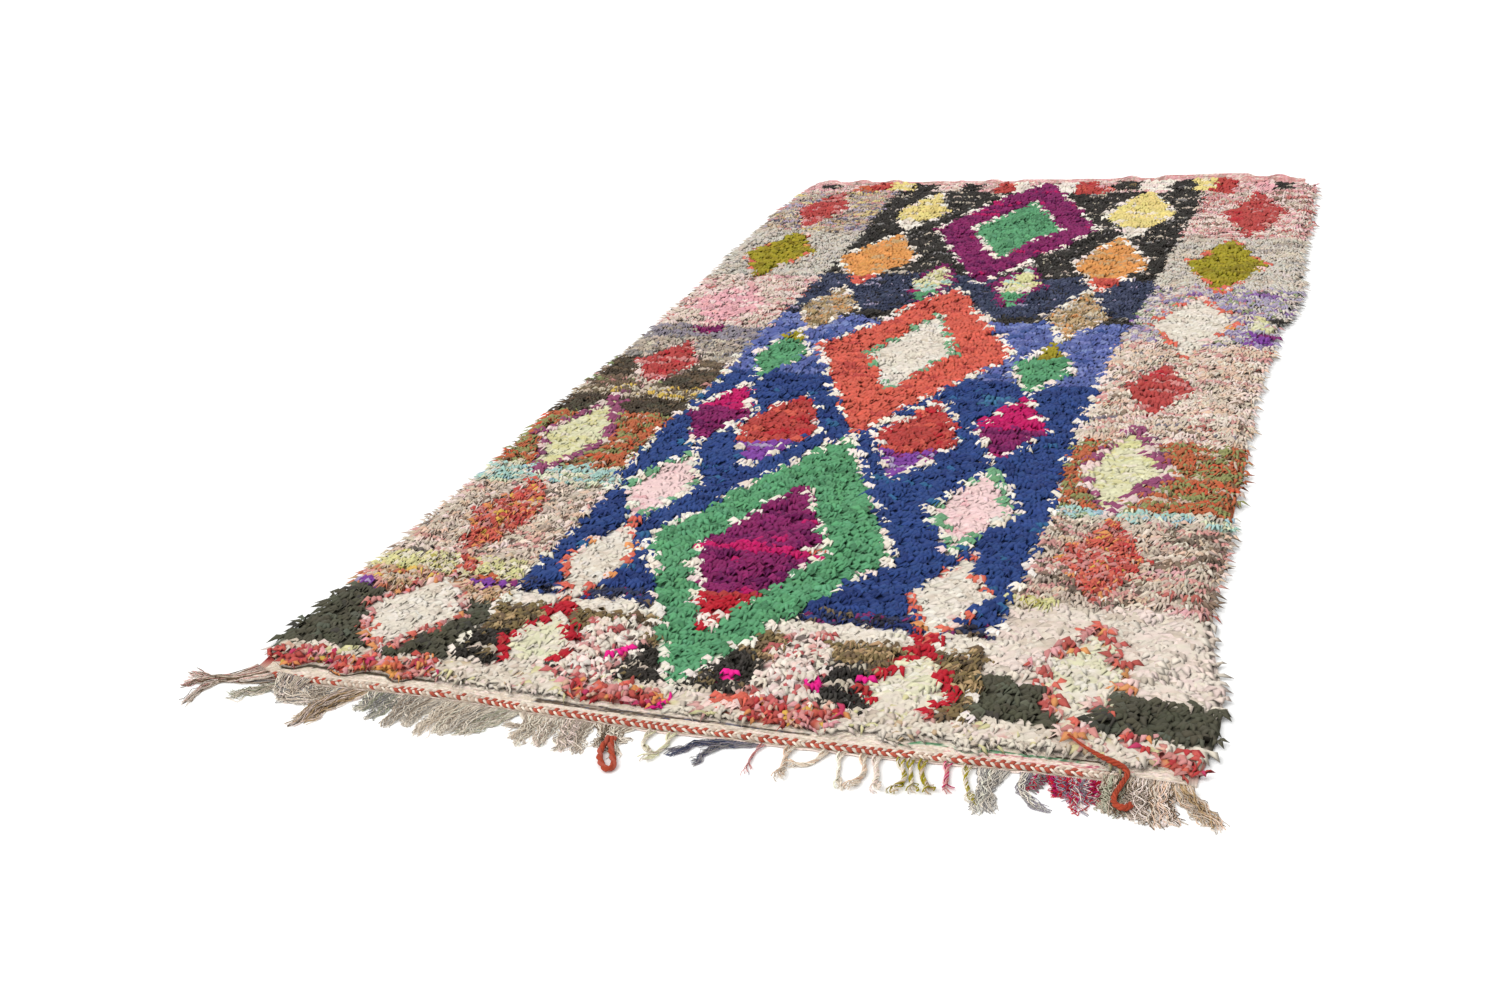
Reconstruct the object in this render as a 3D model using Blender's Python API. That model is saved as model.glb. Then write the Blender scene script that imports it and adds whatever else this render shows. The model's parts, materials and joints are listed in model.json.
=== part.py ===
# Boucherouite rug: a hand-knotted rag-pile rug lying flat, with a flat-woven band at each end.
# Metres, +Z up. The origin is the middle of the underside, +Y points to the far end, and the
# fringed end is at -Y. The underside rests on z = 0.

import math
import random

import bmesh
import bpy

# Driving sizes of the rug
RUG_WIDTH = 1.40
PILE_LENGTH = 2.62
HALF_LENGTH = PILE_LENGTH / 2
PILE_HEIGHT = 0.0165
LUMP_HEIGHT = 0.0032
RIM_HEIGHT = 0.0095
RIM_UNEVEN = 0.0015
END_DROP = 0.0020
RIM_INSET = 0.016
BAND_THICKNESS = 0.0038
FAR_BAND_DEPTH = 0.018
STEP_DEPTH = 0.004
LIFT_SHARE = 0.125
GRID_PITCH = 0.049
TOUCH_GAP = 0.0003
SHARP_ANGLE = math.radians(50)

# Slow swells of the pile: share of the lump height, waves across and along, phase
SWELLS = (
    (0.5, 19, 7, 0.8),
    (0.4, -11, 31, 2.1),
    (0.3, 47, -5, 0.0),
)

# Twined cord along the fringed end
CORD_HALF_WIDTH = 0.0045
CORD_HEIGHT = 0.0085
CORD_STITCH = 0.013
CORD_SLANT = 0.0032
CORD_WAIST = 0.68
CORD_LEFT = -0.694
CORD_RIGHT = 0.592

# Section of the cord, as shares of its half width and of its height
CORD_SECTION = ((-0.75, 0.0), (-1.0, 0.5), (-0.5, 1.0), (0.5, 1.0), (1.0, 0.5), (0.75, 0.0))

# Fringe: a narrow strip that holds the roots, and the locks that lie on the floor
STRIP_DEPTH = 0.005
STRIP_HEIGHT = 0.003
STRIP_LEFT = -0.700
STRIP_RIGHT = 0.664
LOCK_HEIGHT = 0.0055
LOCK_TIP_HEIGHT = 0.0025
LOCK_TOP_SHARE = 0.55
LOCK_TIP_SHARE = 0.45
LOCK_RINGS = 4
LOCK_STRETCH = 0.08
STRETCH_PER_LOCK = 7.3
STRETCH_PER_METRE = 40
HEADING_STEP = 0.02

# Rim locks of the pile, on the four sides
SIDE_LOCK_LENGTH = (0.010, 0.024)
SIDE_LOCK_LEAN = 0.010
SIDE_LOCK_TIP_HEIGHT = 0.0045
END_LOCK_LENGTH = (0.007, 0.013)
END_LOCK_TIP_LIFT = 0.0035
END_LOCK_TIP_HEIGHT = 0.0040
LOCK_TIP_WIDTH = 0.45

# Loose end of red rag yarn, from the pile's edge over the band to the fringe
YARN_HALF_WIDTH = 0.0038
YARN_HEIGHT = 0.0065
YARN_PATH_STEP = 0.007

# Section of the yarn, as shares of its half width and of its height
YARN_SECTION = ((-1.0, 0.0), (1.0, 0.0), (0.65, 1.0), (-0.65, 1.0))

# Sides of the pile: how far along the rug (from the fringed end), left side, right side
SIDE_COLUMNS = ("along", "left", "right")
SIDES = (
    (0.00, -0.692, 0.665),
    (0.10, -0.699, 0.679),
    (0.20, -0.697, 0.675),
    (0.30, -0.689, 0.657),
    (0.45, -0.686, 0.651),
    (0.70, -0.682, 0.649),
    (0.90, -0.688, 0.656),
    (1.10, -0.683, 0.647),
    (1.30, -0.672, 0.651),
    (1.50, -0.669, 0.663),
    (1.58, -0.671, 0.666),
    (1.62, -0.673, 0.692),
    (1.80, -0.679, 0.694),
    (2.10, -0.689, 0.687),
    (2.35, -0.691, 0.693),
    (2.62, -0.679, 0.687),
)

# Fringed end: across the rug, edge of the pile, middle of the twined cord
NEAR_COLUMNS = ("across", "pile", "cord")
NEAR_EDGE = (
    (-0.72, -0.004, -0.031),
    (-0.58, -0.004, -0.0295),
    (-0.48, 0.000, -0.024),
    (-0.36, 0.012, -0.0195),
    (-0.21, 0.012, -0.0245),
    (-0.06, 0.012, -0.0245),
    (0.09, 0.010, -0.0195),
    (0.24, 0.013, -0.0145),
    (0.40, 0.021, -0.0045),
    (0.50, 0.0235, 0.0005),
    (0.62, 0.018, 0.006),
    (0.72, 0.010, 0.006),
)

# Far end: across the rug, how far the pile's edge bulges past its nominal length, lift there
FAR_COLUMNS = ("across", "bulge", "lift")
FAR_EDGE = (
    (-0.72, -0.004, 0.000),
    (-0.55, -0.008, 0.000),
    (-0.30, -0.016, 0.000),
    (0.00, -0.002, 0.000),
    (0.25, 0.010, 0.002),
    (0.44, 0.026, 0.004),
    (0.56, 0.012, 0.002),
    (0.72, 0.006, 0.000),
)

# Sections of the fringe: roots from the first to the last, and where the tips of the first and
# the last lock lie (from their own root), with the distance that a lock runs straight out
FRINGE_COLUMNS = (
    "first_root", "last_root", "locks", "width",
    "first_tip_x", "first_tip_y", "last_tip_x", "last_tip_y", "first_straight", "last_straight",
)
FRINGE_SECTIONS = (
    (-0.690, -0.636, 5, 0.0075, -0.106, -0.008, -0.100, -0.074, 0.003, 0.050),
    (-0.620, -0.612, 2, 0.0065, -0.050, -0.082, -0.022, -0.078, 0.040, 0.045),
    (-0.600, -0.528, 7, 0.0070, 0.012, -0.060, -0.002, -0.034, 0.030, 0.020),
    (-0.504, -0.484, 3, 0.0070, -0.056, -0.104, -0.046, -0.106, 0.066, 0.080),
    (-0.474, -0.270, 18, 0.0080, -0.004, -0.090, 0.012, -0.080, 0.040, 0.030),
    (-0.256, -0.094, 14, 0.0070, 0.008, -0.072, 0.004, -0.080, 0.030, 0.030),
    (-0.080, -0.068, 2, 0.0065, 0.014, -0.112, 0.024, -0.106, 0.060, 0.050),
    (-0.046, -0.032, 2, 0.0055, 0.030, -0.070, 0.026, -0.052, 0.030, 0.020),
    (0.052, 0.092, 4, 0.0065, -0.040, -0.040, -0.048, -0.066, 0.014, 0.040),
    (0.124, 0.124, 1, 0.0050, 0.010, -0.074, 0.010, -0.074, 0.030, 0.030),
    (0.168, 0.204, 3, 0.0060, 0.006, -0.076, -0.008, -0.046, 0.030, 0.030),
    (0.236, 0.288, 4, 0.0060, 0.016, -0.084, 0.010, -0.074, 0.030, 0.030),
    (0.310, 0.346, 4, 0.0060, 0.014, -0.082, 0.022, -0.078, 0.030, 0.030),
    (0.366, 0.392, 2, 0.0060, 0.016, -0.074, 0.012, -0.070, 0.030, 0.030),
    (0.408, 0.448, 5, 0.0065, 0.010, -0.104, 0.004, -0.096, 0.050, 0.050),
    (0.460, 0.476, 2, 0.0065, 0.016, -0.078, 0.022, -0.080, 0.030, 0.030),
    (0.490, 0.560, 7, 0.0075, 0.012, -0.066, 0.004, -0.078, 0.030, 0.030),
    (0.572, 0.655, 9, 0.0075, 0.002, -0.084, 0.064, -0.050, 0.030, 0.014),
)

# Loose yarn: places of its centreline across and along the rug, and the height of its underside
YARN_POINTS = (
    (0.512, 0.0560, 0.0176),
    (0.528, 0.0420, 0.0170),
    (0.544, 0.0290, 0.0174),
    (0.562, 0.0190, 0.0164),
    (0.580, 0.0140, 0.0135),
    (0.591, 0.0080, 0.0113),
    (0.594, 0.0000, 0.0084),
    (0.590, -0.0150, 0.0060),
    (0.586, -0.0320, 0.0052),
    (0.585, -0.0470, 0.0046),
    (0.591, -0.0570, 0.0043),
    (0.601, -0.0580, 0.0042),
    (0.606, -0.0500, 0.0043),
)

# Material of each piece: colour, linear, and roughness
FINISHES = {
    "rug": ((0.30, 0.20, 0.18), 0.95),
    "end_cord": ((0.60, 0.30, 0.22), 0.90),
    "fringe": ((0.48, 0.42, 0.34), 0.90),
    "loose_yarn": ((0.52, 0.07, 0.03), 0.90),
}

rng = random.Random(11)


def smooth(table, columns, name, position):
    """Value of a named column of a table at a position, eased between its rows."""
    column = columns.index(name)
    if position <= table[0][0]:
        return table[0][column]
    for low, high in zip(table, table[1:]):
        if position <= high[0]:
            share = (position - low[0]) / (high[0] - low[0])
            share = share * share * (3 - 2 * share)
            return low[column] + (high[column] - low[column]) * share
    return table[-1][column]


def pile_edge(x):
    """Near edge of the pile, as a place along the rug in the part's frame."""
    return smooth(NEAR_EDGE, NEAR_COLUMNS, "pile", x) - HALF_LENGTH


def cord_line(x):
    """Middle of the twined cord, in the part's frame."""
    return smooth(NEAR_EDGE, NEAR_COLUMNS, "cord", x) - HALF_LENGTH


def far_edge(x):
    """Far edge of the pile, in the part's frame."""
    return smooth(FAR_EDGE, FAR_COLUMNS, "bulge", x) + HALF_LENGTH


def lump(x, y):
    """Height of the pile's slow swells over its mean surface."""
    return LUMP_HEIGHT * sum(
        share * math.sin(across * x + along * y + phase) for share, across, along, phase in SWELLS
    )


def grid_rows():
    """Rows across the rug: kind of row and its share of the pile's length."""
    count = round((PILE_LENGTH - 2 * STEP_DEPTH) / GRID_PITCH)
    first = STEP_DEPTH / PILE_LENGTH
    shares = [first + (1 - 2 * first) * k / count for k in range(count + 1)]
    return (
        [("near band", 0.0), ("near foot", 0.0)]
        + [("pile", s) for s in shares]
        + [("far foot", 1.0), ("far band", 1.0)]
    )


def grid_columns():
    """Columns along the rug, as shares of its width, with a narrow one at each side."""
    count = round((RUG_WIDTH - 2 * RIM_INSET) / GRID_PITCH)
    first = RIM_INSET / RUG_WIDTH
    inner = [first + (1 - 2 * first) * k / count for k in range(count + 1)]
    return [0.0] + inner + [1.0]


def grid_point(row, share_across):
    """Place and height of one point of the rug's upper surface."""
    kind, share_along = row
    along = share_along * PILE_LENGTH
    left = smooth(SIDES, SIDE_COLUMNS, "left", along)
    right = smooth(SIDES, SIDE_COLUMNS, "right", along)
    x = left + (right - left) * share_across
    y = pile_edge(x) * (1 - share_along) + far_edge(x) * share_along
    lift = smooth(FAR_EDGE, FAR_COLUMNS, "lift", x) * max(0.0, 1 - (1 - share_along) / LIFT_SHARE)
    if kind == "near band":
        return x, cord_line(x) + CORD_HALF_WIDTH + TOUCH_GAP, BAND_THICKNESS
    if kind in ("near foot", "far foot"):
        return x, y, BAND_THICKNESS
    if kind == "far band":
        return x, y + FAR_BAND_DEPTH, BAND_THICKNESS
    if share_across in (0.0, 1.0):
        return x, y, RIM_HEIGHT + rng.uniform(-1, 1) * RIM_UNEVEN
    edge = min(share_along, 1 - share_along) * PILE_LENGTH
    crown = PILE_HEIGHT if edge > GRID_PITCH / 2 else PILE_HEIGHT - END_DROP
    return x, y, crown + lift + lump(x, y) + rng.uniform(-1, 1) * LUMP_HEIGHT


def grow_lock(bm, face, length, lean, tip_low, tip_high):
    """Pulls a tapering lock out of a side face of the pile."""
    face.normal_update()
    out = face.normal.copy()
    out.z = 0
    out.normalize()
    made = bmesh.ops.extrude_discrete_faces(bm, faces=[face])["faces"][0]
    middle = made.calc_center_median()
    low = min(v.co.z for v in made.verts)
    high = max(v.co.z for v in made.verts)
    for v in made.verts:
        share = (v.co.z - low) / (high - low)
        flat = v.co - middle
        v.co.x = middle.x + flat.x * LOCK_TIP_WIDTH + out.x * length - out.y * lean
        v.co.y = middle.y + flat.y * LOCK_TIP_WIDTH + out.y * length + out.x * lean
        v.co.z = tip_low + (tip_high - tip_low) * round(share)


def side_locks(bm, faces):
    """Locks round the pile's two long sides, which rest on the floor."""
    for face in faces:
        length = rng.uniform(*SIDE_LOCK_LENGTH)
        lean = rng.uniform(-1, 1) * SIDE_LOCK_LEAN
        grow_lock(bm, face, length, lean, 0.0, SIDE_LOCK_TIP_HEIGHT)


def end_locks(bm, faces):
    """Locks at the pile's two ends, which hang out over the flat-woven bands."""
    low = BAND_THICKNESS + END_LOCK_TIP_LIFT
    for face in faces:
        length = rng.uniform(*END_LOCK_LENGTH)
        grow_lock(bm, face, length, 0.0, low, low + END_LOCK_TIP_HEIGHT)


def add_object(bm, name):
    """Makes an object of a finished bmesh, with its own material."""
    bmesh.ops.recalc_face_normals(bm, faces=bm.faces)
    mesh = bpy.data.meshes.new(name)
    bm.to_mesh(mesh)
    bm.free()
    mesh.shade_smooth()
    mesh.set_sharp_from_angle(angle=SHARP_ANGLE)
    colour, roughness = FINISHES[name]
    material = bpy.data.materials.new(name)
    material.use_nodes = True
    shader = material.node_tree.nodes["Principled BSDF"]
    shader.inputs["Base Color"].default_value = (*colour, 1)
    shader.inputs["Roughness"].default_value = roughness
    shader.inputs["Metallic"].default_value = 0
    mesh.materials.append(material)
    obj = bpy.data.objects.new(name, mesh)
    bpy.context.scene.collection.objects.link(obj)
    return obj


def make_rug():
    """The woven ground with its pile: a lumpy slab, thin bands at both ends, locks at its rim."""
    rows = grid_rows()
    columns = grid_columns()
    bm = bmesh.new()
    top = [[bm.verts.new(grid_point(row, c)) for c in columns] for row in rows]
    last_row = len(rows) - 1
    last_column = len(columns) - 1

    def floor_copy(v):
        return bm.verts.new((v.co.x, v.co.y, 0.0))

    near = [floor_copy(v) for v in top[0]]
    far = [floor_copy(v) for v in top[last_row]]
    left = [near[0]] + [floor_copy(top[j][0]) for j in range(1, last_row)] + [far[0]]
    right = [near[-1]] + [floor_copy(top[j][-1]) for j in range(1, last_row)] + [far[-1]]

    # Every second face of the two steps down to the bands grows a lock
    step_faces = []
    for j in range(last_row):
        for i in range(last_column):
            face = bm.faces.new((top[j][i], top[j][i + 1], top[j + 1][i + 1], top[j + 1][i]))
            if rows[j][0] == "near foot" or rows[j + 1][0] == "far foot":
                step_faces.append(face)
    side_faces = []
    for j in range(last_row):
        on_left = bm.faces.new((top[j][0], top[j + 1][0], left[j + 1], left[j]))
        on_right = bm.faces.new((top[j][-1], right[j], right[j + 1], top[j + 1][-1]))
        if rows[j][0] == "pile" and rows[j + 1][0] == "pile":
            side_faces += [on_left, on_right]
    for i in range(last_column):
        bm.faces.new((top[0][i], near[i], near[i + 1], top[0][i + 1]))
        bm.faces.new((top[last_row][i], top[last_row][i + 1], far[i + 1], far[i]))
    bm.faces.new([left[1]] + [right[1]] + near[::-1])
    for j in range(1, last_row - 1):
        bm.faces.new((left[j], left[j + 1], right[j + 1], right[j]))
    bm.faces.new(far + [right[last_row - 1], left[last_row - 1]])

    side_locks(bm, side_faces)
    end_locks(bm, step_faces[1:-1:2])
    return add_object(bm, "rug")


def make_end_cord():
    """The twined cord: a ridged bar with one slanted ridge for each stitch."""
    bm = bmesh.new()
    steps = round((CORD_RIGHT - CORD_LEFT) / (CORD_STITCH / 2))
    rings = []
    for k in range(steps + 1):
        x = CORD_LEFT + (CORD_RIGHT - CORD_LEFT) * k / steps
        size = 1.0 if k % 2 else CORD_WAIST
        y = cord_line(x)
        ring = []
        for side, up in CORD_SECTION:
            place = (
                x + CORD_SLANT * side,
                y + CORD_HALF_WIDTH * size * side,
                CORD_HEIGHT * size * up,
            )
            ring.append(bm.verts.new(place))
        rings.append(ring)
    corners = len(CORD_SECTION)
    for low, high in zip(rings, rings[1:]):
        for i in range(corners):
            j = (i + 1) % corners
            bm.faces.new((low[i], low[j], high[j], high[i]))
    bm.faces.new(rings[0])
    bm.faces.new(rings[-1])
    return add_object(bm, "end_cord")


def curve_point(start, bend, end, share):
    """Point of a lock's curve on the floor: straight out of its root, then over to its tip."""
    a = (1 - share) ** 2
    b = 2 * share * (1 - share)
    c = share * share
    return a * start[0] + b * bend[0] + c * end[0], a * start[1] + b * bend[1] + c * end[1]


def fringe_locks():
    """Root, bend, tip and width of each lock of the fringe, from left to right."""
    for row in FRINGE_SECTIONS:
        section = dict(zip(FRINGE_COLUMNS, row))
        count = section["locks"]
        for k in range(count):
            share = k / (count - 1) if count > 1 else 0.0

            def between(first, last):
                return section[first] + (section[last] - section[first]) * share

            x = between("first_root", "last_root")
            y = cord_line(x) - CORD_HALF_WIDTH - TOUCH_GAP - STRIP_DEPTH
            stretch = 1 + LOCK_STRETCH * math.sin(STRETCH_PER_LOCK * k + STRETCH_PER_METRE * x)
            bend = (x, y - between("first_straight", "last_straight"))
            tip = (
                x + between("first_tip_x", "last_tip_x"),
                y + between("first_tip_y", "last_tip_y") * stretch,
            )
            yield (x, y), bend, tip, section["width"]


def lock_ring(bm, root, bend, tip, width, share):
    """Four corners of a lock at a share of its length, its underside on the floor."""
    x, y = curve_point(root, bend, tip, share)
    ahead = curve_point(root, bend, tip, min(share + HEADING_STEP, 1.0))
    behind = curve_point(root, bend, tip, max(share - HEADING_STEP, 0.0))
    dx, dy = ahead[0] - behind[0], ahead[1] - behind[1]
    norm = math.hypot(dx, dy)
    across = (-dy / norm, dx / norm)
    half = width / 2 * (1 - (1 - LOCK_TIP_SHARE) * share)
    high = LOCK_HEIGHT + (LOCK_TIP_HEIGHT - LOCK_HEIGHT) * share
    corners = ((-half, 0.0), (half, 0.0), (half * LOCK_TOP_SHARE, high), (-half * LOCK_TOP_SHARE, high))
    return [bm.verts.new((x + across[0] * s, y + across[1] * s, z)) for s, z in corners]


def make_fringe():
    """The fringe: a strip beside the cord, with every lock rooted in its outer side."""
    bm = bmesh.new()
    locks = list(fringe_locks())
    stations = [STRIP_LEFT]
    for root, _, _, width in locks:
        stations += [root[0] - width / 2, root[0] + width / 2]
    stations.append(STRIP_RIGHT)
    frames = []
    for x in stations:
        inner = cord_line(x) - CORD_HALF_WIDTH - TOUCH_GAP
        outer = inner - STRIP_DEPTH
        corners = ((inner, 0.0), (outer, 0.0), (outer, STRIP_HEIGHT), (inner, STRIP_HEIGHT))
        frames.append([bm.verts.new((x, y, z)) for y, z in corners])
    for k, (low, high) in enumerate(zip(frames, frames[1:])):
        bm.faces.new((low[0], low[1], high[1], high[0]))
        bm.faces.new((low[2], low[3], high[3], high[2]))
        bm.faces.new((low[3], low[0], high[0], high[3]))
        if k % 2 == 0:
            bm.faces.new((low[1], low[2], high[2], high[1]))
            continue
        root, bend, tip, width = locks[k // 2]
        ring = [low[1], high[1], high[2], low[2]]
        for n in range(1, LOCK_RINGS + 1):
            after = lock_ring(bm, root, bend, tip, width, n / LOCK_RINGS)
            for i in range(4):
                j = (i + 1) % 4
                bm.faces.new((ring[i], ring[j], after[j], after[i]))
            ring = after
        bm.faces.new(ring)
    bm.faces.new(frames[0])
    bm.faces.new(frames[-1])
    return add_object(bm, "fringe")


def yarn_line():
    """Evenly spaced points of the loose yarn's smooth centreline."""
    points = [(x, y - HALF_LENGTH, z) for x, y, z in YARN_POINTS]
    line = []
    for k in range(len(points) - 1):
        a = points[max(k - 1, 0)]
        b = points[k]
        c = points[k + 1]
        d = points[min(k + 2, len(points) - 1)]
        steps = max(1, round(math.dist(b, c) / YARN_PATH_STEP))
        for n in range(steps):
            t = n / steps
            line.append(tuple(
                0.5 * (2 * b[i] + (c[i] - a[i]) * t + (2 * a[i] - 5 * b[i] + 4 * c[i] - d[i]) * t * t
                       + (3 * b[i] - a[i] - 3 * c[i] + d[i]) * t ** 3)
                for i in range(3)
            ))
    line.append(points[-1])
    return line


def make_loose_yarn():
    """The loose red lock, four-sided, from the pile over the band and cord to the floor."""
    bm = bmesh.new()
    line = yarn_line()
    rings = []
    for k, (x, y, z) in enumerate(line):
        behind = line[max(k - 1, 0)]
        ahead = line[min(k + 1, len(line) - 1)]
        dx, dy = ahead[0] - behind[0], ahead[1] - behind[1]
        norm = math.hypot(dx, dy)
        across = (-dy / norm, dx / norm)
        low = max(z, 0.0)
        ring = []
        for s, up in YARN_SECTION:
            side = YARN_HALF_WIDTH * s
            ring.append(bm.verts.new((x + across[0] * side, y + across[1] * side, low + YARN_HEIGHT * up)))
        rings.append(ring)
    for low, high in zip(rings, rings[1:]):
        for i in range(4):
            j = (i + 1) % 4
            bm.faces.new((low[i], low[j], high[j], high[i]))
    bm.faces.new(rings[0])
    bm.faces.new(rings[-1])
    return add_object(bm, "loose_yarn")


def main():
    for obj in list(bpy.data.objects):
        bpy.data.objects.remove(obj, do_unlink=True)
    make_rug()
    make_end_cord()
    make_fringe()
    make_loose_yarn()


main()
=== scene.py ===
# Boucherouite rug: the looks of a hand-knotted rag-pile rug that lies flat on the floor.
# Metres, +Z up, in the packed frame: +X across the rug to the right, +Y along it, away from the
# fringed end. Motifs are charted as lozenges, bands and patches, in metres from the left
# side and from the fringed end of the pile, and each knot takes its dye from that chart.

import json
import math

import bpy
import numpy as np
from mathutils import Matrix, Vector
from mathutils.bvhtree import BVHTree
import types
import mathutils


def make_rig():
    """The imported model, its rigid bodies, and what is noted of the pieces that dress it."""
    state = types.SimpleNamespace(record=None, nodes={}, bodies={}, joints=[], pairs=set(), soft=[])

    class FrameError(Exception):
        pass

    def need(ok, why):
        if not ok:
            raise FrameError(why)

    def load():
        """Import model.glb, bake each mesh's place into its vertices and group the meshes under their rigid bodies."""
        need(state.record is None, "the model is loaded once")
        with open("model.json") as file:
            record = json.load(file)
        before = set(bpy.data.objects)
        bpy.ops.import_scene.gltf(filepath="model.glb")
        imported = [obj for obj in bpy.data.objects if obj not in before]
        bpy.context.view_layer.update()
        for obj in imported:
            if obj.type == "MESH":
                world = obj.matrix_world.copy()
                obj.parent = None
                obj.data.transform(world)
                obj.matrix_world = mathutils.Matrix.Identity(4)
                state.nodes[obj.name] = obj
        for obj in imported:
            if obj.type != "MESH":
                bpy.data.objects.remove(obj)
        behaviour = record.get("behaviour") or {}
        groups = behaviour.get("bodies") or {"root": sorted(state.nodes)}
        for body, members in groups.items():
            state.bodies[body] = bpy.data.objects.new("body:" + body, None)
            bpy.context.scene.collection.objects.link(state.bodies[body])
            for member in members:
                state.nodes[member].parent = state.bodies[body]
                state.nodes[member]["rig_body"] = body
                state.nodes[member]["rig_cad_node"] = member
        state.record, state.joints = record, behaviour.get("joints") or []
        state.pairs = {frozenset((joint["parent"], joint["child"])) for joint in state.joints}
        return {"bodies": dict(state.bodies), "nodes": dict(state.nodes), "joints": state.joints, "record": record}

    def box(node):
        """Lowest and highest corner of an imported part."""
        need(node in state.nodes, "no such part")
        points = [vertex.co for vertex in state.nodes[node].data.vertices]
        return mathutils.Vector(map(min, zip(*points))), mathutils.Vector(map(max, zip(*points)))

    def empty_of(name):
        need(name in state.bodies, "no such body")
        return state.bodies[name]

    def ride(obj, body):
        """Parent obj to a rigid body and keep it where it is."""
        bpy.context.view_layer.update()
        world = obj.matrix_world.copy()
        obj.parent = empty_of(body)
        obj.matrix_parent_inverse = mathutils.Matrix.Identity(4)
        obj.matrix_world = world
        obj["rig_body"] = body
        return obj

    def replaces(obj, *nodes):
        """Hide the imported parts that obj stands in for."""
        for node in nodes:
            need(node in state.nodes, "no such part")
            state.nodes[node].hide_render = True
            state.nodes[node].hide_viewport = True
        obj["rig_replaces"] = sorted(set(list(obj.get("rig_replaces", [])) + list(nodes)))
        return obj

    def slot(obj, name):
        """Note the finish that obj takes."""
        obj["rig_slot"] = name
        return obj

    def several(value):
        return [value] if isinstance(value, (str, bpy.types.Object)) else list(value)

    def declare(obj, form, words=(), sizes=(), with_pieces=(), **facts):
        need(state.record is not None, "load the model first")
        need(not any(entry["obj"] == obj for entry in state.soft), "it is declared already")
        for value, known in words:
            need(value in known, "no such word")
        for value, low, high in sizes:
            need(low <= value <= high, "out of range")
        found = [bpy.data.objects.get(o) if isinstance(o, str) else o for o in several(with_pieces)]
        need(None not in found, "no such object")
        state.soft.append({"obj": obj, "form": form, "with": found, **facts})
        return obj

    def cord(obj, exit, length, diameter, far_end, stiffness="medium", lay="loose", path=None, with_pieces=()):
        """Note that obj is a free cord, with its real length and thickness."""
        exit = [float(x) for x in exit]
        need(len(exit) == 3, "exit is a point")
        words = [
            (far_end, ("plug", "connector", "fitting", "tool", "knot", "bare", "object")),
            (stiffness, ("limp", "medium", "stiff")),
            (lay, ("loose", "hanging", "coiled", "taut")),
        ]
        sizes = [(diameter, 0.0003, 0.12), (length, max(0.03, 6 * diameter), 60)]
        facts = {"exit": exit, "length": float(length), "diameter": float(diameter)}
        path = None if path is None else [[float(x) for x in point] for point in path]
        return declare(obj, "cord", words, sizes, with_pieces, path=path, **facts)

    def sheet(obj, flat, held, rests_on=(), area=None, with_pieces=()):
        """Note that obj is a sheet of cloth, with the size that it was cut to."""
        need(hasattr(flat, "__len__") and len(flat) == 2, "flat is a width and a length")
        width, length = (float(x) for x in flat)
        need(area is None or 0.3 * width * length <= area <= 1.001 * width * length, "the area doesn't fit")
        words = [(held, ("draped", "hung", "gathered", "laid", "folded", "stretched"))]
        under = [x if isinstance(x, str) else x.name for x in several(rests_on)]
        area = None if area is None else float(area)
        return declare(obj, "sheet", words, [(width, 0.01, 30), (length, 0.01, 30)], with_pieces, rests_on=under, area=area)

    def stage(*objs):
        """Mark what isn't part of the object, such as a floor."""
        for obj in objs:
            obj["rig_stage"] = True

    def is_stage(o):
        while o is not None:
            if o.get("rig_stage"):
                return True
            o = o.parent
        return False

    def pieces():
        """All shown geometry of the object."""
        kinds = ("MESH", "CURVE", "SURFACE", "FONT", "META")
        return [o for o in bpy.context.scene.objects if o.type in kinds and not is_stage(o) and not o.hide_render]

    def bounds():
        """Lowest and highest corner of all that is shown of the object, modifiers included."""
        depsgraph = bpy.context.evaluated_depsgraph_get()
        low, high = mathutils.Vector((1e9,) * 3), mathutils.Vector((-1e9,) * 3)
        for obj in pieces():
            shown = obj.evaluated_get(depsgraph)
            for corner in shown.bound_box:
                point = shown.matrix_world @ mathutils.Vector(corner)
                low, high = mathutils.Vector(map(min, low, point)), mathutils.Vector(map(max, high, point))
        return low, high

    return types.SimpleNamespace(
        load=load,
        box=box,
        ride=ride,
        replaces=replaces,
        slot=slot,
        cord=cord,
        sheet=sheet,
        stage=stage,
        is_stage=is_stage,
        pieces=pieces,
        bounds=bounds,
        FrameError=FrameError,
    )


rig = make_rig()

bl_info = {
    "name": "Boucherouite Rug",
    "version": (1, 0, 0),
    "blender": (4, 5, 0),
    "location": "3D View > Sidebar > Rug",
    "description": "Knots, woven ends, twined cord and fringe of a flat rag-pile rug, and its stage",
    "category": "Object",
}

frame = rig.load()
CAD_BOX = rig.bounds()

MM = 0.001
CHART_LEFT = -0.70
CHART_NEAR = -1.31

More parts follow.
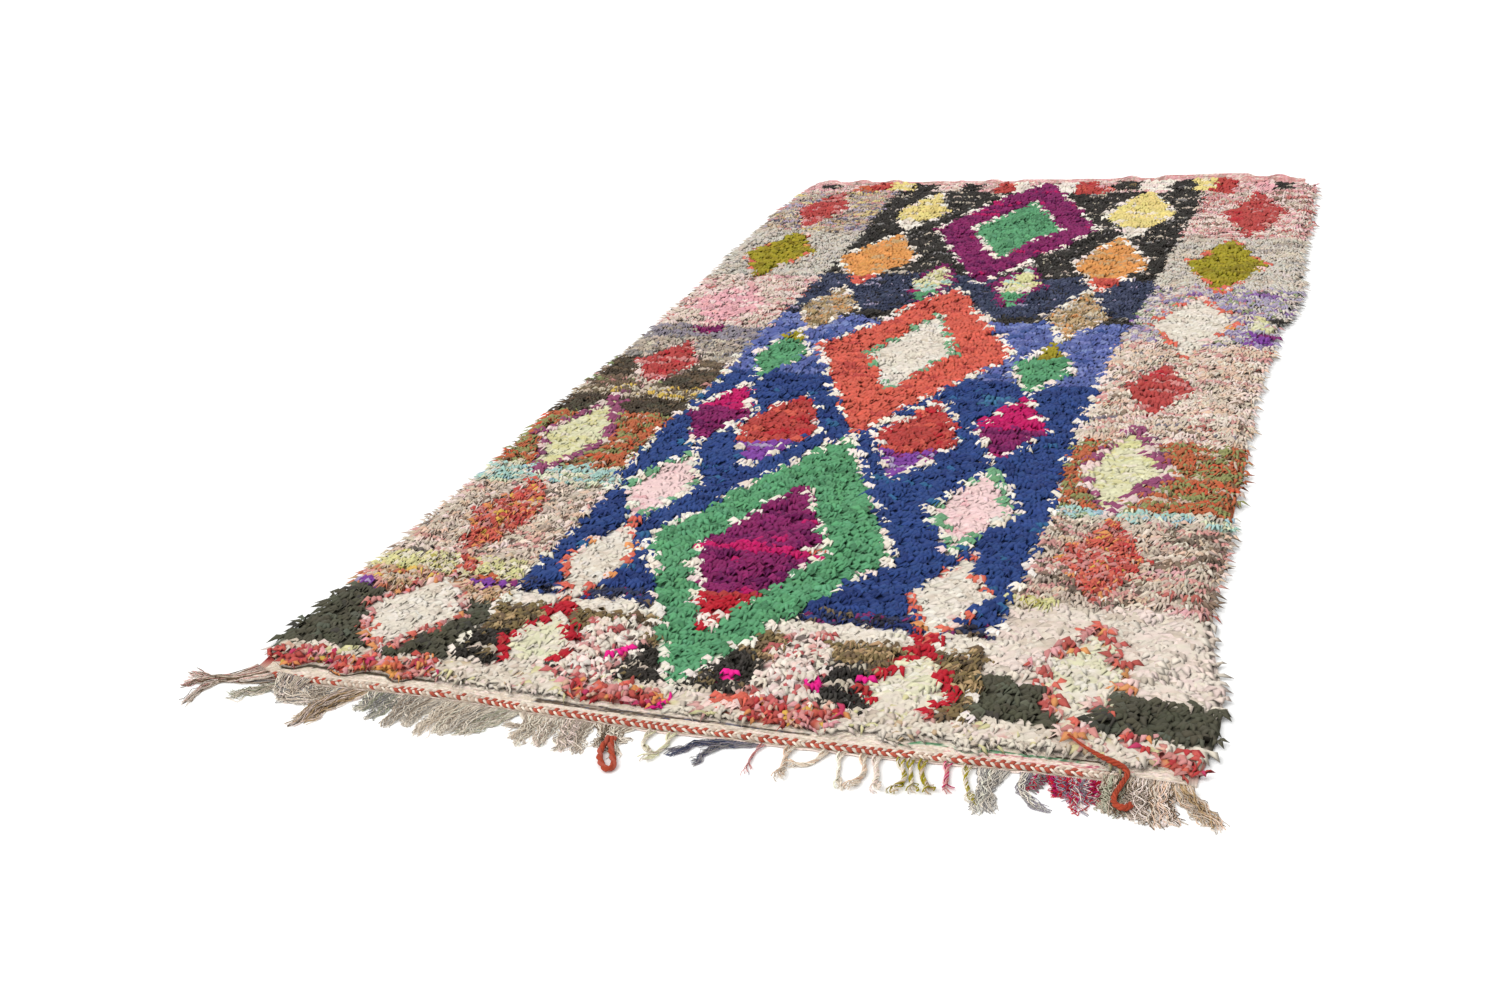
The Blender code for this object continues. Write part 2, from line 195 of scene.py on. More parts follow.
# Dyes of the rags and yarns, sRGB
DYES = {
    "black": "#262422",
    "charcoal": "#3c3936",
    "navy": "#333a50",
    "slate": "#4c526b",
    "periwinkle": "#5a659f",
    "light_periwinkle": "#7a84b6",
    "blue": "#30467e",
    "ink": "#28386c",
    "teal_blue": "#33658c",
    "coral": "#d1604f",
    "brick": "#af433f",
    "crimson": "#b3202f",
    "red_orange": "#cf4a30",
    "raspberry": "#bb1a5f",
    "plum": "#83265e",
    "aubergine": "#5f184c",
    "green": "#5c9a6e",
    "moss": "#477a56",
    "olive": "#9e9128",
    "dark_olive": "#7b6e1c",
    "orange": "#d89453",
    "mustard": "#d9b548",
    "pale_yellow": "#dfcb80",
    "cream": "#e3d8c8",
    "white": "#ebe3d7",
    "pinkish_white": "#ead6cc",
    "yellow_green": "#d2cc90",
    "pink": "#dfa5aa",
    "dusty_rose": "#c98a86",
    "camel": "#b99c74",
    "grey_green": "#504e40",
    "light_grey_green": "#5e6153",
    "dark_brown": "#4a4036",
    "brown": "#6c5946",
    "khaki": "#7d6b48",
    "rust": "#bb6040",
    "sage": "#84945e",
    "turquoise": "#9cc4bd",
    "sky": "#8fb5c6",
    "lilac": "#a99eb8",
    "light_violet": "#8a79a8",
    "violet": "#7b3f98",
    "hot_pink": "#e8268c",
    "grey": "#8d8987",
    "mauve_grey": "#908892",
    "taupe": "#a79889",
    "pale_grey": "#cdc6bb",
    "beige": "#cdbeac",
    "peach": "#dabaa1",
    "pale_pink": "#efcfcc",
    "pale_lime": "#dddab6",
    "stitch_red": "#b75a48",
    "yarn_red": "#a64630",
    "warp_green": "#a6a690",
}

# What the knots of an area are tied with: rag strips or thinner yarn, and the share of each dye
MIXES = {
    "black": ("yarn", {"black": 10, "charcoal": 3, "beige": 1.1, "grey": 0.6}),
    "navy": ("yarn", {"navy": 8, "slate": 3, "black": 1, "lilac": 0.4}),
    "periwinkle": ("rag", {"periwinkle": 8, "light_periwinkle": 2, "blue": 1}),
    "deep blue": ("rag", {"blue": 10, "ink": 4, "teal_blue": 0.5}),
    "coral": ("rag", {"coral": 9, "brick": 2}),
    "brick": ("rag", {"brick": 8, "coral": 2, "crimson": 1}),
    "madder": ("rag", {"brick": 6, "dusty_rose": 1.8, "crimson": 1.2}),
    "crimson": ("rag", {"crimson": 8, "brick": 2}),
    "raspberry": ("rag", {"raspberry": 8, "plum": 1}),
    "plum": ("rag", {"plum": 8, "aubergine": 3, "raspberry": 0.4}),
    "violet": ("rag", {"violet": 6, "lilac": 1, "plum": 1}),
    "green": ("rag", {"green": 9, "moss": 2}),
    "olive": ("rag", {"olive": 8, "dark_olive": 2}),
    "orange": ("rag", {"orange": 9, "camel": 1}),
    "pale yellow": ("rag", {"pale_yellow": 8, "cream": 1}),
    "pale pink": ("rag", {"pale_pink": 9, "pink": 1}),
    "pale green": ("rag", {"yellow_green": 4, "cream": 3, "turquoise": 1}),
    "cream": ("rag", {"cream": 8, "white": 3, "beige": 1}),
    "white": ("rag", {"white": 6, "cream": 3, "pinkish_white": 2}),
    "pink": ("rag", {"pink": 8, "pinkish_white": 2}),
    "teal": ("rag", {"teal_blue": 4, "turquoise": 1.5, "blue": 2, "green": 1}),
    "hot pink": ("rag", {"hot_pink": 1}),
    "rust": ("rag", {"rust": 3, "red_orange": 1}),
    "mustard": ("rag", {"mustard": 1.5, "orange": 3, "coral": 1.2, "pale_yellow": 0.6}),
    "grey green": ("rag", {"grey_green": 9, "light_grey_green": 2, "charcoal": 1}),
    "dark brown": ("yarn", {"dark_brown": 7, "grey_green": 2, "brown": 2}),
    "camel mottle": ("yarn", {"camel": 5, "beige": 2, "khaki": 2, "orange": 1, "grey": 1}),
    "taupe mottle": ("yarn", {"taupe": 3.5, "beige": 3, "lilac": 2.2, "camel": 1.2, "dusty_rose": 1.3,
                              "pale_yellow": 1.0, "slate": 1.1, "charcoal": 0.6}),
    "pale grey": ("yarn", {"pale_grey": 7, "beige": 3, "taupe": 1, "grey": 0.5}),
    "pale lime": ("rag", {"pale_lime": 6, "yellow_green": 4.5, "cream": 1}),
    "pink cream": ("yarn", {"pinkish_white": 4.5, "beige": 3, "pink": 1.2, "dusty_rose": 1.1,
                            "brick": 0.4, "brown": 0.7}),
    "mauve grey": ("yarn", {"mauve_grey": 7, "taupe": 1}),
    "grey mottle": ("yarn", {"taupe": 3, "beige": 3, "grey": 2, "mauve_grey": 1, "dark_brown": 0.7}),
    "brown mottle": ("yarn", {"dark_brown": 3, "brown": 3, "dusty_rose": 1, "beige": 1.5, "sage": 1}),
    "yellow fleck": ("yarn", {"beige": 3, "mustard": 1.5, "dark_brown": 2, "brown": 1.5}),
    "rust and sage": ("yarn", {"rust": 5, "sage": 3.2, "red_orange": 0.6, "brown": 1, "beige": 0.5}),
    "turquoise": ("yarn", {"turquoise": 3.5, "sky": 1.2, "beige": 2, "pale_lime": 2, "cream": 1,
                           "sage": 0.7}),
    "beige mottle": ("yarn", {"beige": 5, "pinkish_white": 3, "taupe": 1, "peach": 2.5,
                              "dusty_rose": 1.2, "brown": 1.2, "charcoal": 0.3}),
    "yellow green": ("yarn", {"yellow_green": 7, "beige": 2, "cream": 2, "olive": 0.5}),
    "orange tan": ("yarn", {"peach": 3, "camel": 2.5, "rust": 1.5, "dusty_rose": 1.5, "beige": 2,
                            "mustard": 0.5}),
    "red shag": ("rag", {"crimson": 2.2, "brick": 3.5, "coral": 2, "dusty_rose": 3, "orange": 1.3,
                         "pink": 1.2, "mustard": 0.4, "raspberry": 0.5, "peach": 1}),
    "coral dots": ("rag", {"coral": 5, "orange": 0.8, "pinkish_white": 0.8}),
    "red dots": ("rag", {"brick": 2.5, "dusty_rose": 2.5, "coral": 1.5, "orange": 1.2, "pink": 0.8,
                         "pinkish_white": 1.2}),
    "plum stitches": ("rag", {"plum": 5, "aubergine": 0.5, "pinkish_white": 3.2}),
    "green stitches": ("rag", {"green": 4, "white": 2}),
    "red mottle": ("yarn", {"brick": 2.5, "coral": 3.5, "dusty_rose": 3, "crimson": 0.8, "orange": 1.2,
                            "mustard": 0.4, "beige": 0.6}),
    "pink mottle": ("yarn", {"pink": 3, "pinkish_white": 3, "dusty_rose": 2, "taupe": 1.5,
                             "brown": 0.6}),
    "pink and brown": ("yarn", {"pinkish_white": 4, "beige": 1.5, "pink": 1.5, "dusty_rose": 2.2,
                                "taupe": 1, "brown": 1, "brick": 0.9}),
    "grey beige": ("yarn", {"pale_grey": 5, "beige": 4, "taupe": 1.2, "grey": 0.4}),
    "lilac mottle": ("yarn", {"lilac": 3.5, "pale_grey": 2, "cream": 1.5, "beige": 1.2,
                              "light_violet": 2.2, "sage": 1.6, "dusty_rose": 0.7, "violet": 0.4,
                              "charcoal": 0.3}),
    "peach speckle": ("yarn", {"beige": 4.5, "pinkish_white": 2.5, "peach": 3, "cream": 1.5,
                               "brown": 0.9, "dusty_rose": 0.9, "brick": 0.25, "slate": 0.2}),
    "mauve beige": ("yarn", {"beige": 4.4, "dusty_rose": 1.6, "pink": 0.4, "taupe": 1.6, "peach": 1.8,
                             "cream": 0.8, "dark_brown": 0.8, "brown": 1, "brick": 0.15}),
    "pinkish cream": ("rag", {"pinkish_white": 4, "cream": 4, "beige": 2.8}),
    "cream mottle": ("rag", {"cream": 6, "beige": 2.5, "pinkish_white": 1.2, "yellow_green": 0.8,
                             "dusty_rose": 0.4, "camel": 0.4}),
    "yellow cream": ("rag", {"pale_lime": 5, "cream": 5, "white": 1.5}),
    "khaki": ("yarn", {"khaki": 5, "brown": 3, "camel": 2, "dark_brown": 1.5}),
    "black mottle": ("yarn", {"black": 6, "charcoal": 3, "beige": 0.8, "khaki": 0.8}),
    "white and crimson": ("rag", {"white": 2.5, "cream": 3.5, "pinkish_white": 3, "crimson": 1.8,
                                  "charcoal": 0.9, "dusty_rose": 1.4}),
    "navy and purple": ("yarn", {"blue": 3, "navy": 4, "ink": 3, "plum": 0.7, "khaki": 0.7, "black": 1}),
    "natural weave": ("yarn", {"beige": 5, "cream": 4, "pinkish_white": 2, "taupe": 1}),
    "dusty weave": ("yarn", {"pinkish_white": 2, "pink": 2, "dusty_rose": 2.5, "taupe": 1.2}),
    "dark weft": ("yarn", {"dark_brown": 4, "slate": 2, "taupe": 2, "brown": 2}),
    "green weft": ("yarn", {"moss": 3, "green": 2, "cream": 2}),
    "pink specks": ("yarn", {"cream": 4, "pinkish_white": 3, "dusty_rose": 2, "raspberry": 1,
                             "beige": 2}),
}

# The two long lines between the middle field and the side fields: place along, left and right line
BORDERS = (
    (0.00, 0.285, 1.075),
    (0.27, 0.287, 1.062),
    (0.50, 0.290, 1.074),
    (0.70, 0.284, 1.071),
    (0.90, 0.276, 1.060),
    (1.15, 0.298, 1.064),
    (1.40, 0.286, 1.063),
    (1.60, 0.299, 1.078),
    (1.90, 0.302, 1.095),
    (2.20, 0.297, 1.105),
    (2.50, 0.292, 1.124),
    (2.70, 0.300, 1.130),
)

# Ground of the three fields: the upper edge of each band and its mix, down to the next one
LEFT_BANDS = (
    (9.00, "pink mottle"),
    (2.51, "taupe mottle"),
    (2.15, "pale grey"),
    (1.79, "pink cream"),
    (1.44, "mauve grey"),
    (1.365, "grey mottle"),
    (1.235, "brown mottle"),
    (1.085, "yellow fleck"),
    (1.030, "dark brown"),
    (0.950, "rust and sage"),
    (0.705, "turquoise"),
    (0.625, "beige mottle"),
    (0.350, "yellow green"),
    (0.290, "orange tan"),
    (0.225, "grey green"),
    (0.052, "cream mottle"),
    (0.030, "red shag"),
)
MIDDLE_BANDS = (
    (9.00, "pink mottle"),
    (2.515, "black"),
    (1.815, "navy"),
    (1.535, "periwinkle"),
    (1.195, "deep blue"),
    (0.300, "navy and purple"),
    (0.266, "cream"),
    (0.224, "khaki"),
    (0.150, "black mottle"),
    (0.062, "cream mottle"),
)
RIGHT_BANDS = (
    (9.00, "pink mottle"),
    (2.515, "pink and brown"),
    (2.130, "grey beige"),
    (1.780, "lilac mottle"),
    (1.435, "peach speckle"),
    (0.960, "rust and sage"),
    (0.695, "turquoise"),
    (0.655, "mauve beige"),
    (0.390, "pinkish cream"),
    (0.170, "grey green"),
    (0.080, "cream mottle"),
)

# Small areas that lie over the bands: from and to across, from and to along, and their mix
PATCHES = (
    (0.045, 0.100, 2.545, 2.600, "black"),
    (0.165, 0.215, 2.520, 2.565, "rust"),
    (0.205, 0.260, 2.530, 2.640, "brick"),
    (0.260, 0.330, 2.520, 2.640, "pale yellow"),
    (0.330, 0.395, 2.480, 2.640, "black"),
    (0.395, 0.468, 2.515, 2.640, "pink cream"),
    (0.468, 0.520, 2.500, 2.640, "black"),
    (0.563, 0.610, 2.510, 2.640, "brick"),
    (0.610, 0.655, 2.510, 2.640, "white"),
    (0.730, 0.778, 2.510, 2.640, "white"),
    (0.778, 0.835, 2.500, 2.640, "brick"),
    (0.835, 0.875, 2.500, 2.570, "brick"),
    (0.880, 0.950, 2.535, 2.640, "black mottle"),
    (0.950, 1.030, 2.530, 2.640, "white"),
    (1.030, 1.092, 2.520, 2.650, "black"),
    (1.092, 1.140, 2.530, 2.660, "pale yellow"),
    (1.140, 1.195, 2.520, 2.665, "brick"),
    (1.245, 1.290, 2.530, 2.640, "pink"),
    (1.290, 1.340, 2.540, 2.665, "black"),
    (0.440, 0.565, 1.525, 1.568, "black"),
    (0.785, 0.920, 1.525, 1.562, "black"),
    (1.000, 1.070, 1.530, 1.572, "black"),
    (0.855, 0.930, 1.085, 1.125, "teal"),
    (0.122, 0.182, 1.402, 1.455, "plum"),
    (0.015, 0.100, 1.130, 1.235, "dark brown"),
    (0.175, 0.285, 1.090, 1.190, "dark brown"),
    (1.345, 1.400, 1.560, 1.605, "black"),
    (1.305, 1.350, 1.515, 1.600, "pale lime"),
    (1.318, 1.385, 1.450, 1.512, "violet"),
    (0.198, 0.282, 0.264, 0.280, "violet"),
    (0.004, 0.050, 0.224, 0.240, "violet"),
    (0.205, 0.245, 0.280, 0.305, "rust"),
    (0.150, 0.190, 0.300, 0.345, "red mottle"),
    (1.065, 1.130, 0.370, 0.395, "yellow green"),
    (0.375, 0.418, 0.200, 0.280, "crimson"),
    (0.952, 1.000, 0.212, 0.275, "crimson"),
    (0.455, 0.560, 0.050, 0.205, "white and crimson"),
    (0.560, 0.632, 0.075, 0.165, "black mottle"),
    (0.760, 0.862, 0.050, 0.190, "white and crimson"),
    (0.775, 0.845, 0.180, 0.228, "white and crimson"),
    (0.695, 0.762, 0.078, 0.165, "black mottle"),
    (0.862, 0.915, 0.070, 0.165, "black"),
    (1.035, 1.070, 0.060, 0.240, "khaki"),
    (0.340, 0.372, 0.098, 0.122, "hot pink"),
    (0.528, 0.552, 0.108, 0.132, "hot pink"),
    (0.712, 0.738, 0.086, 0.110, "hot pink"),
    (0.842, 0.862, 0.082, 0.112, "hot pink"),
    (0.908, 0.936, 0.118, 0.145, "hot pink"),
    (0.240, 0.262, 0.034, 0.054, "red mottle"),
    (0.178, 0.230, -0.05, 0.018, "mustard"),
    (0.495, 0.645, -0.05, 0.043, "red shag"),
    (0.644, 0.668, -0.05, 0.030, "hot pink"),
    (0.725, 0.800, 0.028, 0.056, "coral dots"),
    (0.780, 0.945, -0.05, 0.052, "red shag"),
    (1.318, 1.450, -0.05, 0.062, "red shag"),
    (1.275, 1.305, 0.055, 0.086, "red shag"),
)

# Lozenges, the later ones over the earlier ones. Below the split the lower mix takes over
LOZENGE_COLUMNS = (
    "across", "along", "half_width", "up", "down", "mix", "split", "lower", "edging", "edge",
)
LOZENGES = (
    (0.695, 2.185, 0.206, 0.455, 0.415, "plum", 0.000, "", "white", 0.008),
    (0.697, 2.185, 0.110, 0.235, 0.225, "green", 0.000, "", "white", 0.006),
    (0.655, 1.345, 0.208, 0.385, 0.425, "coral", 0.000, "", "white", 0.009),
    (0.655, 1.335, 0.085, 0.215, 0.195, "cream", 0.000, "", "green stitches", 0.009),
    (0.415, 2.325, 0.064, 0.175, 0.175, "pale yellow", 2.250, "cream", "white", 0.008),
    (0.985, 2.315, 0.082, 0.205, 0.195, "pale yellow", 2.210, "cream", "white", 0.008),
    (0.405, 1.935, 0.095, 0.190, 0.185, "orange", 1.810, "coral", "white", 0.009),
    (0.972, 1.925, 0.085, 0.200, 0.200, "orange", 1.825, "coral", "white", 0.009),
    (0.586, 1.765, 0.044, 0.120, 0.130, "pale green", 1.695, "green", "plum", 0.011),
    (0.790, 1.760, 0.050, 0.120, 0.130, "pale green", 1.700, "green", "plum", 0.011),
    (0.388, 1.585, 0.067, 0.135, 0.150, "camel mottle", 0.000, "", "white", 0.008),
    (0.955, 1.575, 0.064, 0.135, 0.145, "camel mottle", 0.000, "", "white", 0.008),
    (0.378, 1.290, 0.056, 0.140, 0.135, "olive", 1.365, "green", "white", 0.009),
    (0.940, 1.275, 0.057, 0.140, 0.135, "olive", 1.335, "green", "white", 0.009),
    (0.362, 0.980, 0.062, 0.155, 0.140, "raspberry", 1.005, "plum", "white", 0.009),
    (0.940, 0.985, 0.060, 0.150, 0.150, "raspberry", 0.975, "plum", "white", 0.009),
    (0.505, 0.920, 0.083, 0.170, 0.160, "brick", 0.862, "violet", "white", 0.009),
    (0.778, 0.920, 0.080, 0.175, 0.170, "brick", 0.862, "violet", "white", 0.009),
    (0.378, 0.655, 0.067, 0.150, 0.140, "green stitches", 0.000, "", "white", 0.008),
    (0.378, 0.655, 0.052, 0.125, 0.112, "pale pink", 0.000, "", "pale pink", 0.002),
    (0.945, 0.655, 0.072, 0.155, 0.150, "green stitches", 0.000, "", "white", 0.008),
    (0.945, 0.655, 0.056, 0.128, 0.120, "pale pink", 0.000, "", "pale pink", 0.002),
    (0.387, 0.378, 0.058, 0.132, 0.122, "cream", 0.000, "", "coral dots", 0.0075),
    (0.976, 0.377, 0.058, 0.125, 0.122, "cream", 0.000, "", "coral dots", 0.0075),
    (0.405, 0.118, 0.054, 0.100, 0.090, "yellow cream", 0.000, "", "crimson", 0.013),
    (0.981, 0.115, 0.058, 0.105, 0.085, "yellow cream", 0.000, "", "crimson", 0.014),
    (0.405, 0.030, 0.090, 0.062, 0.080, "cream mottle", -0.100, "", "cream mottle", 0.003),
    (0.981, 0.030, 0.090, 0.062, 0.080, "cream mottle", -0.100, "", "cream mottle", 0.003),
    (0.648, 0.480, 0.207, 0.425, 0.420, "green", 0.000, "", "white", 0.012),
    (0.637, 0.467, 0.108, 0.228, 0.252, "plum", 0.330, "crimson", "white", 0.009),
    (0.730, 0.474, 0.018, 0.012, 0.014, "coral dots", 0.000, "", "white", 0.006),
    (0.127, 2.350, 0.075, 0.170, 0.170, "madder", 0.000, "", "pink cream", 0.006),
    (0.134, 1.962, 0.090, 0.172, 0.168, "olive", 0.000, "", "coral dots", 0.006),
    (0.142, 1.590, 0.090, 0.150, 0.145, "pink", 0.000, "", "pink", 0.004),
    (0.143, 1.225, 0.070, 0.125, 0.135, "madder", 0.000, "", "pink cream", 0.008),
    (0.116, 0.838, 0.066, 0.174, 0.144, "pale lime", 0.000, "", "plum stitches", 0.018),
    (0.140, 0.510, 0.068, 0.155, 0.165, "red mottle", 0.000, "", "beige mottle", 0.003),
    (0.156, 0.172, 0.086, 0.118, 0.120, "cream", 0.000, "", "red dots", 0.011),
    (1.262, 2.338, 0.078, 0.180, 0.205, "madder", 0.000, "", "pink cream", 0.005),
    (1.230, 1.942, 0.086, 0.175, 0.200, "olive", 0.000, "", "coral dots", 0.007),
    (1.200, 1.555, 0.086, 0.162, 0.172, "cream", 0.000, "", "coral dots", 0.0075),
    (1.173, 1.200, 0.065, 0.125, 0.140, "madder", 0.000, "", "pink cream", 0.008),
    (1.164, 0.838, 0.066, 0.160, 0.144, "pale lime", 0.000, "", "plum stitches", 0.017),
    (1.178, 0.528, 0.070, 0.145, 0.140, "red mottle", 0.000, "", "mauve beige", 0.003),
    (1.205, 0.200, 0.058, 0.118, 0.115, "yellow cream", 0.000, "", "red dots", 0.015),
)

# Raspberry stripe in the plum core: from and to along, and its middle and half width across
STRIPE_ALONG = (0.448, 0.476)
STRIPE_ACROSS = (0.637, 0.11)

# White stitches along the long lines: from and to along, and how far they reach to both sides
STITCHED_ALONG = (0.05, 1.32)
STITCH_INNER = 0.001
STITCH_OUTER = 0.0065

# Fringe: bundles of warp threads from left to right, with the places of their roots along the cord
# and how far behind it they begin, the waist that they gather in, and the tips that they part into,
# from the left roots to the right ones. Places run across the rug and outwards from the cord
FRINGE_COLUMNS = (
    "left_root", "right_root", "left_behind", "right_behind", "waist_x", "waist_out", "waist_width",
    "tips", "threads", "form", "thickness_mm", "dyes",
)
FRINGE_BUNDLES = (
    (-0.703, -0.652, 0.024, 0.000, -0.757, 0.031, 0.027,
     ((-0.810, 0.018), (-0.800, 0.045), (-0.763, 0.094)), 84, "wavy", 1.8,
     ("pinkish_white", "beige", "dusty_rose", "taupe", "brown")),
    (-0.648, -0.626, 0.000, 0.000, -0.668, 0.039, 0.018, ((-0.706, 0.060),), 30, "tangled", 1.8,
     ("warp_green", "pale_grey", "cream", "beige")),
    (-0.655, -0.590, 0.012, 0.004, -0.610, 0.038, 0.034, ((-0.560, 0.049), (-0.544, 0.036)), 60,
     "tangled", 1.8, ("beige", "taupe", "pinkish_white", "cream", "grey")),
    (-0.536, -0.486, 0.000, 0.000, -0.538, 0.050, 0.038, ((-0.560, 0.108), (-0.544, 0.098)), 60,
     "wavy", 2.0, ("taupe", "camel", "brown", "beige", "pinkish_white")),
    (-0.600, -0.535, 0.000, 0.000, -0.570, 0.028, 0.050, ((-0.576, 0.050),), 40, "tangled", 1.8,
     ("beige", "taupe", "cream", "grey")),
    (-0.500, -0.425, 0.000, 0.000, -0.462, 0.040, 0.060, ((-0.484, 0.058), (-0.450, 0.074)), 58,
     "wavy", 1.9, ("grey", "pale_grey", "warp_green", "cream")),
    (-0.440, -0.352, 0.000, 0.000, -0.404, 0.049, 0.058, ((-0.420, 0.086), (-0.388, 0.080)), 66,
     "wavy", 1.9, ("beige", "taupe", "cream", "pale_grey")),
    (-0.368, -0.300, 0.000, 0.000, -0.345, 0.050, 0.052, ((-0.366, 0.095), (-0.338, 0.086)), 58,
     "wavy", 1.9, ("beige", "cream", "taupe", "cream")),
    (-0.316, -0.262, 0.000, 0.000, -0.305, 0.048, 0.046, ((-0.326, 0.085), (-0.300, 0.078)), 50,
     "wavy", 1.9, ("beige", "cream", "taupe", "pale_grey")),
    (-0.276, -0.238, 0.000, 0.000, -0.276, 0.038, 0.034, ((-0.312, 0.080), (-0.294, 0.074)), 42,
     "wavy", 1.8, ("taupe", "warp_green", "cream", "pale_grey")),
    (-0.242, -0.192, 0.000, 0.000, -0.214, 0.042, 0.030,
     ((-0.252, 0.040), (-0.226, 0.068), (-0.208, 0.082)), 54, "wavy", 1.9,
     ("cream", "beige", "cream", "taupe")),
    (-0.196, -0.170, 0.000, 0.000, -0.183, 0.040, 0.024, ((-0.180, 0.076),), 34, "wavy", 1.8,
     ("cream", "beige", "pinkish_white", "taupe")),
    (-0.174, -0.118, 0.000, 0.000, -0.141, 0.043, 0.042, ((-0.142, 0.080), (-0.116, 0.078)), 56,
     "wavy", 1.8, ("cream", "beige", "pinkish_white", "taupe")),
    (-0.122, -0.060, 0.000, 0.000, -0.086, 0.038, 0.036,
     ((-0.100, 0.060), (-0.060, 0.074), (-0.058, 0.040)), 54, "wavy", 1.8,
     ("cream", "beige", "cream", "brown")),
    (-0.040, -0.030, 0.000, 0.000, -0.034, 0.040, 0.006, ((-0.014, 0.058),), 9, "twist", 2.9,
     ("beige", "cream", "pale_lime")),
    (-0.010, 0.000, 0.000, 0.000, -0.003, 0.042, 0.006, ((-0.022, 0.078),), 9, "twist", 2.9,
     ("beige", "cream", "pale_lime")),
    (0.058, 0.116, 0.000, 0.000, 0.040, 0.024, 0.008, ((0.003, 0.056),), 24, "wavy", 1.7,
     ("grey", "mauve_grey", "slate")),
    (0.075, 0.124, 0.000, 0.000, 0.062, 0.031, 0.007, ((0.045, 0.070),), 18, "wavy", 1.7,
     ("grey", "mauve_grey", "slate")),
    (0.122, 0.128, 0.000, 0.000, 0.119, 0.038, 0.004, ((0.127, 0.078),), 6, "twist", 1.8,
     ("dusty_rose", "mauve_grey")),
    (0.158, 0.168, 0.000, 0.000, 0.166, 0.044, 0.007, ((0.172, 0.080),), 10, "twist", 2.9,
     ("cream", "peach", "beige")),
    (0.208, 0.216, 0.000, 0.000, 0.197, 0.040, 0.006, ((0.168, 0.046),), 9, "twist", 2.9,
     ("cream", "peach", "beige")),
    (0.228, 0.236, 0.000, 0.000, 0.241, 0.048, 0.005, ((0.253, 0.088),), 8, "twist", 2.9,
     ("cream", "beige")),
    (0.258, 0.266, 0.000, 0.000, 0.274, 0.047, 0.007, ((0.259, 0.083),), 11, "twist", 2.9,
     ("cream", "beige", "peach")),
    (0.276, 0.285, 0.000, 0.000, 0.290, 0.045, 0.008, ((0.301, 0.080),), 12, "twist", 2.8,
     ("cream", "pinkish_white", "beige")),
    (0.307, 0.315, 0.000, 0.000, 0.326, 0.046, 0.007, ((0.319, 0.082),), 11, "twist", 2.8,
     ("cream", "olive", "camel")),
    (0.321, 0.328, 0.000, 0.000, 0.334, 0.042, 0.006, ((0.347, 0.078),), 10, "twist", 2.8,
     ("cream", "olive", "beige")),
    (0.336, 0.344, 0.000, 0.000, 0.350, 0.045, 0.007, ((0.367, 0.072),), 11, "twist", 2.8,
     ("cream", "camel", "beige", "olive")),
    (0.368, 0.376, 0.000, 0.000, 0.377, 0.034, 0.006, ((0.385, 0.067),), 9, "twist", 2.8,
     ("dusty_rose", "pink", "raspberry")),
    (0.393, 0.402, 0.000, 0.000, 0.406, 0.050, 0.007, ((0.423, 0.084),), 11, "twist", 1.8,
     ("cream", "olive", "beige")),
    (0.410, 0.452, 0.000, 0.000, 0.430, 0.050, 0.017, ((0.427, 0.099), (0.445, 0.094)), 58, "wavy",
     1.6, ("grey", "pale_grey", "cream", "pale_grey")),
    (0.464, 0.480, 0.000, 0.000, 0.474, 0.046, 0.009, ((0.508, 0.082),), 20, "wavy", 1.6,
     ("grey", "pale_grey", "mauve_grey", "cream")),
    (0.484, 0.500, 0.000, 0.000, 0.489, 0.026, 0.012, ((0.481, 0.046),), 14, "net", 1.9,
     ("crimson", "raspberry", "grey")),
    (0.496, 0.532, 0.000, 0.000, 0.520, 0.030, 0.026, ((0.518, 0.050), (0.536, 0.056)), 32, "net", 1.9,
     ("crimson", "raspberry", "crimson", "plum", "mauve_grey")),
    (0.522, 0.572, 0.000, 0.000, 0.549, 0.034, 0.034,
     ((0.549, 0.079), (0.562, 0.056), (0.578, 0.042)), 44, "net", 1.9,
     ("crimson", "raspberry", "crimson", "mauve_grey", "pinkish_white")),
    (0.566, 0.600, 0.004, 0.006, 0.580, 0.038, 0.028, ((0.573, 0.068), (0.592, 0.076)), 46, "wavy",
     1.9, ("brown", "taupe", "beige", "warp_green")),
    (0.594, 0.632, 0.006, 0.006, 0.610, 0.040, 0.028, ((0.606, 0.076), (0.624, 0.082)), 48, "tangled",
     1.9, ("brown", "pinkish_white", "beige", "taupe")),
    (0.622, 0.656, 0.006, 0.006, 0.640, 0.040, 0.024, ((0.643, 0.084), (0.662, 0.074)), 48, "wavy",
     1.9, ("beige", "brown", "pinkish_white", "peach")),
    (0.645, 0.672, 0.006, 0.004, 0.682, 0.038, 0.026, ((0.700, 0.064), (0.714, 0.070)), 50, "wavy",
     1.7, ("brown", "camel", "peach", "taupe", "beige")),
)
# Waves of a form: their height on a whole bundle and on each thread, in millimetres, and their number
THREAD_WAVES = {
    "wavy": (2.4, 3.6, 2.8),
    "tangled": (3.0, 6.0, 2.8),
    "twist": (1.0, 0.3, 1.5),
    "net": (2.0, 5.0, 3.0),
}

# Threads: points of half a thread, where it leaves the cord, how far a bundle's tips part, its
# height, the rise of threads that begin on the cord, the lay of a twisted strand, and how many
# threads stray and how far
HALF_POINTS = 8
ROOT_LINE = 9.8 * MM
TIP_SPREAD = 14 * MM
LOCK_HEIGHT = 6.5 * MM
OVER_CORD = 9 * MM
STRAND_PITCH = 26 * MM
STRAY_SHARE = 0.16
STRAY_WIDTH = 5 * MM

# Roll of the fringe's roots: its two ends and the dye of each thread
STRIP_ENDS = (-0.698, 0.662)
STRIP_DYES = ("beige", "taupe", "pinkish_white")
STRIP_STATIONS = 420

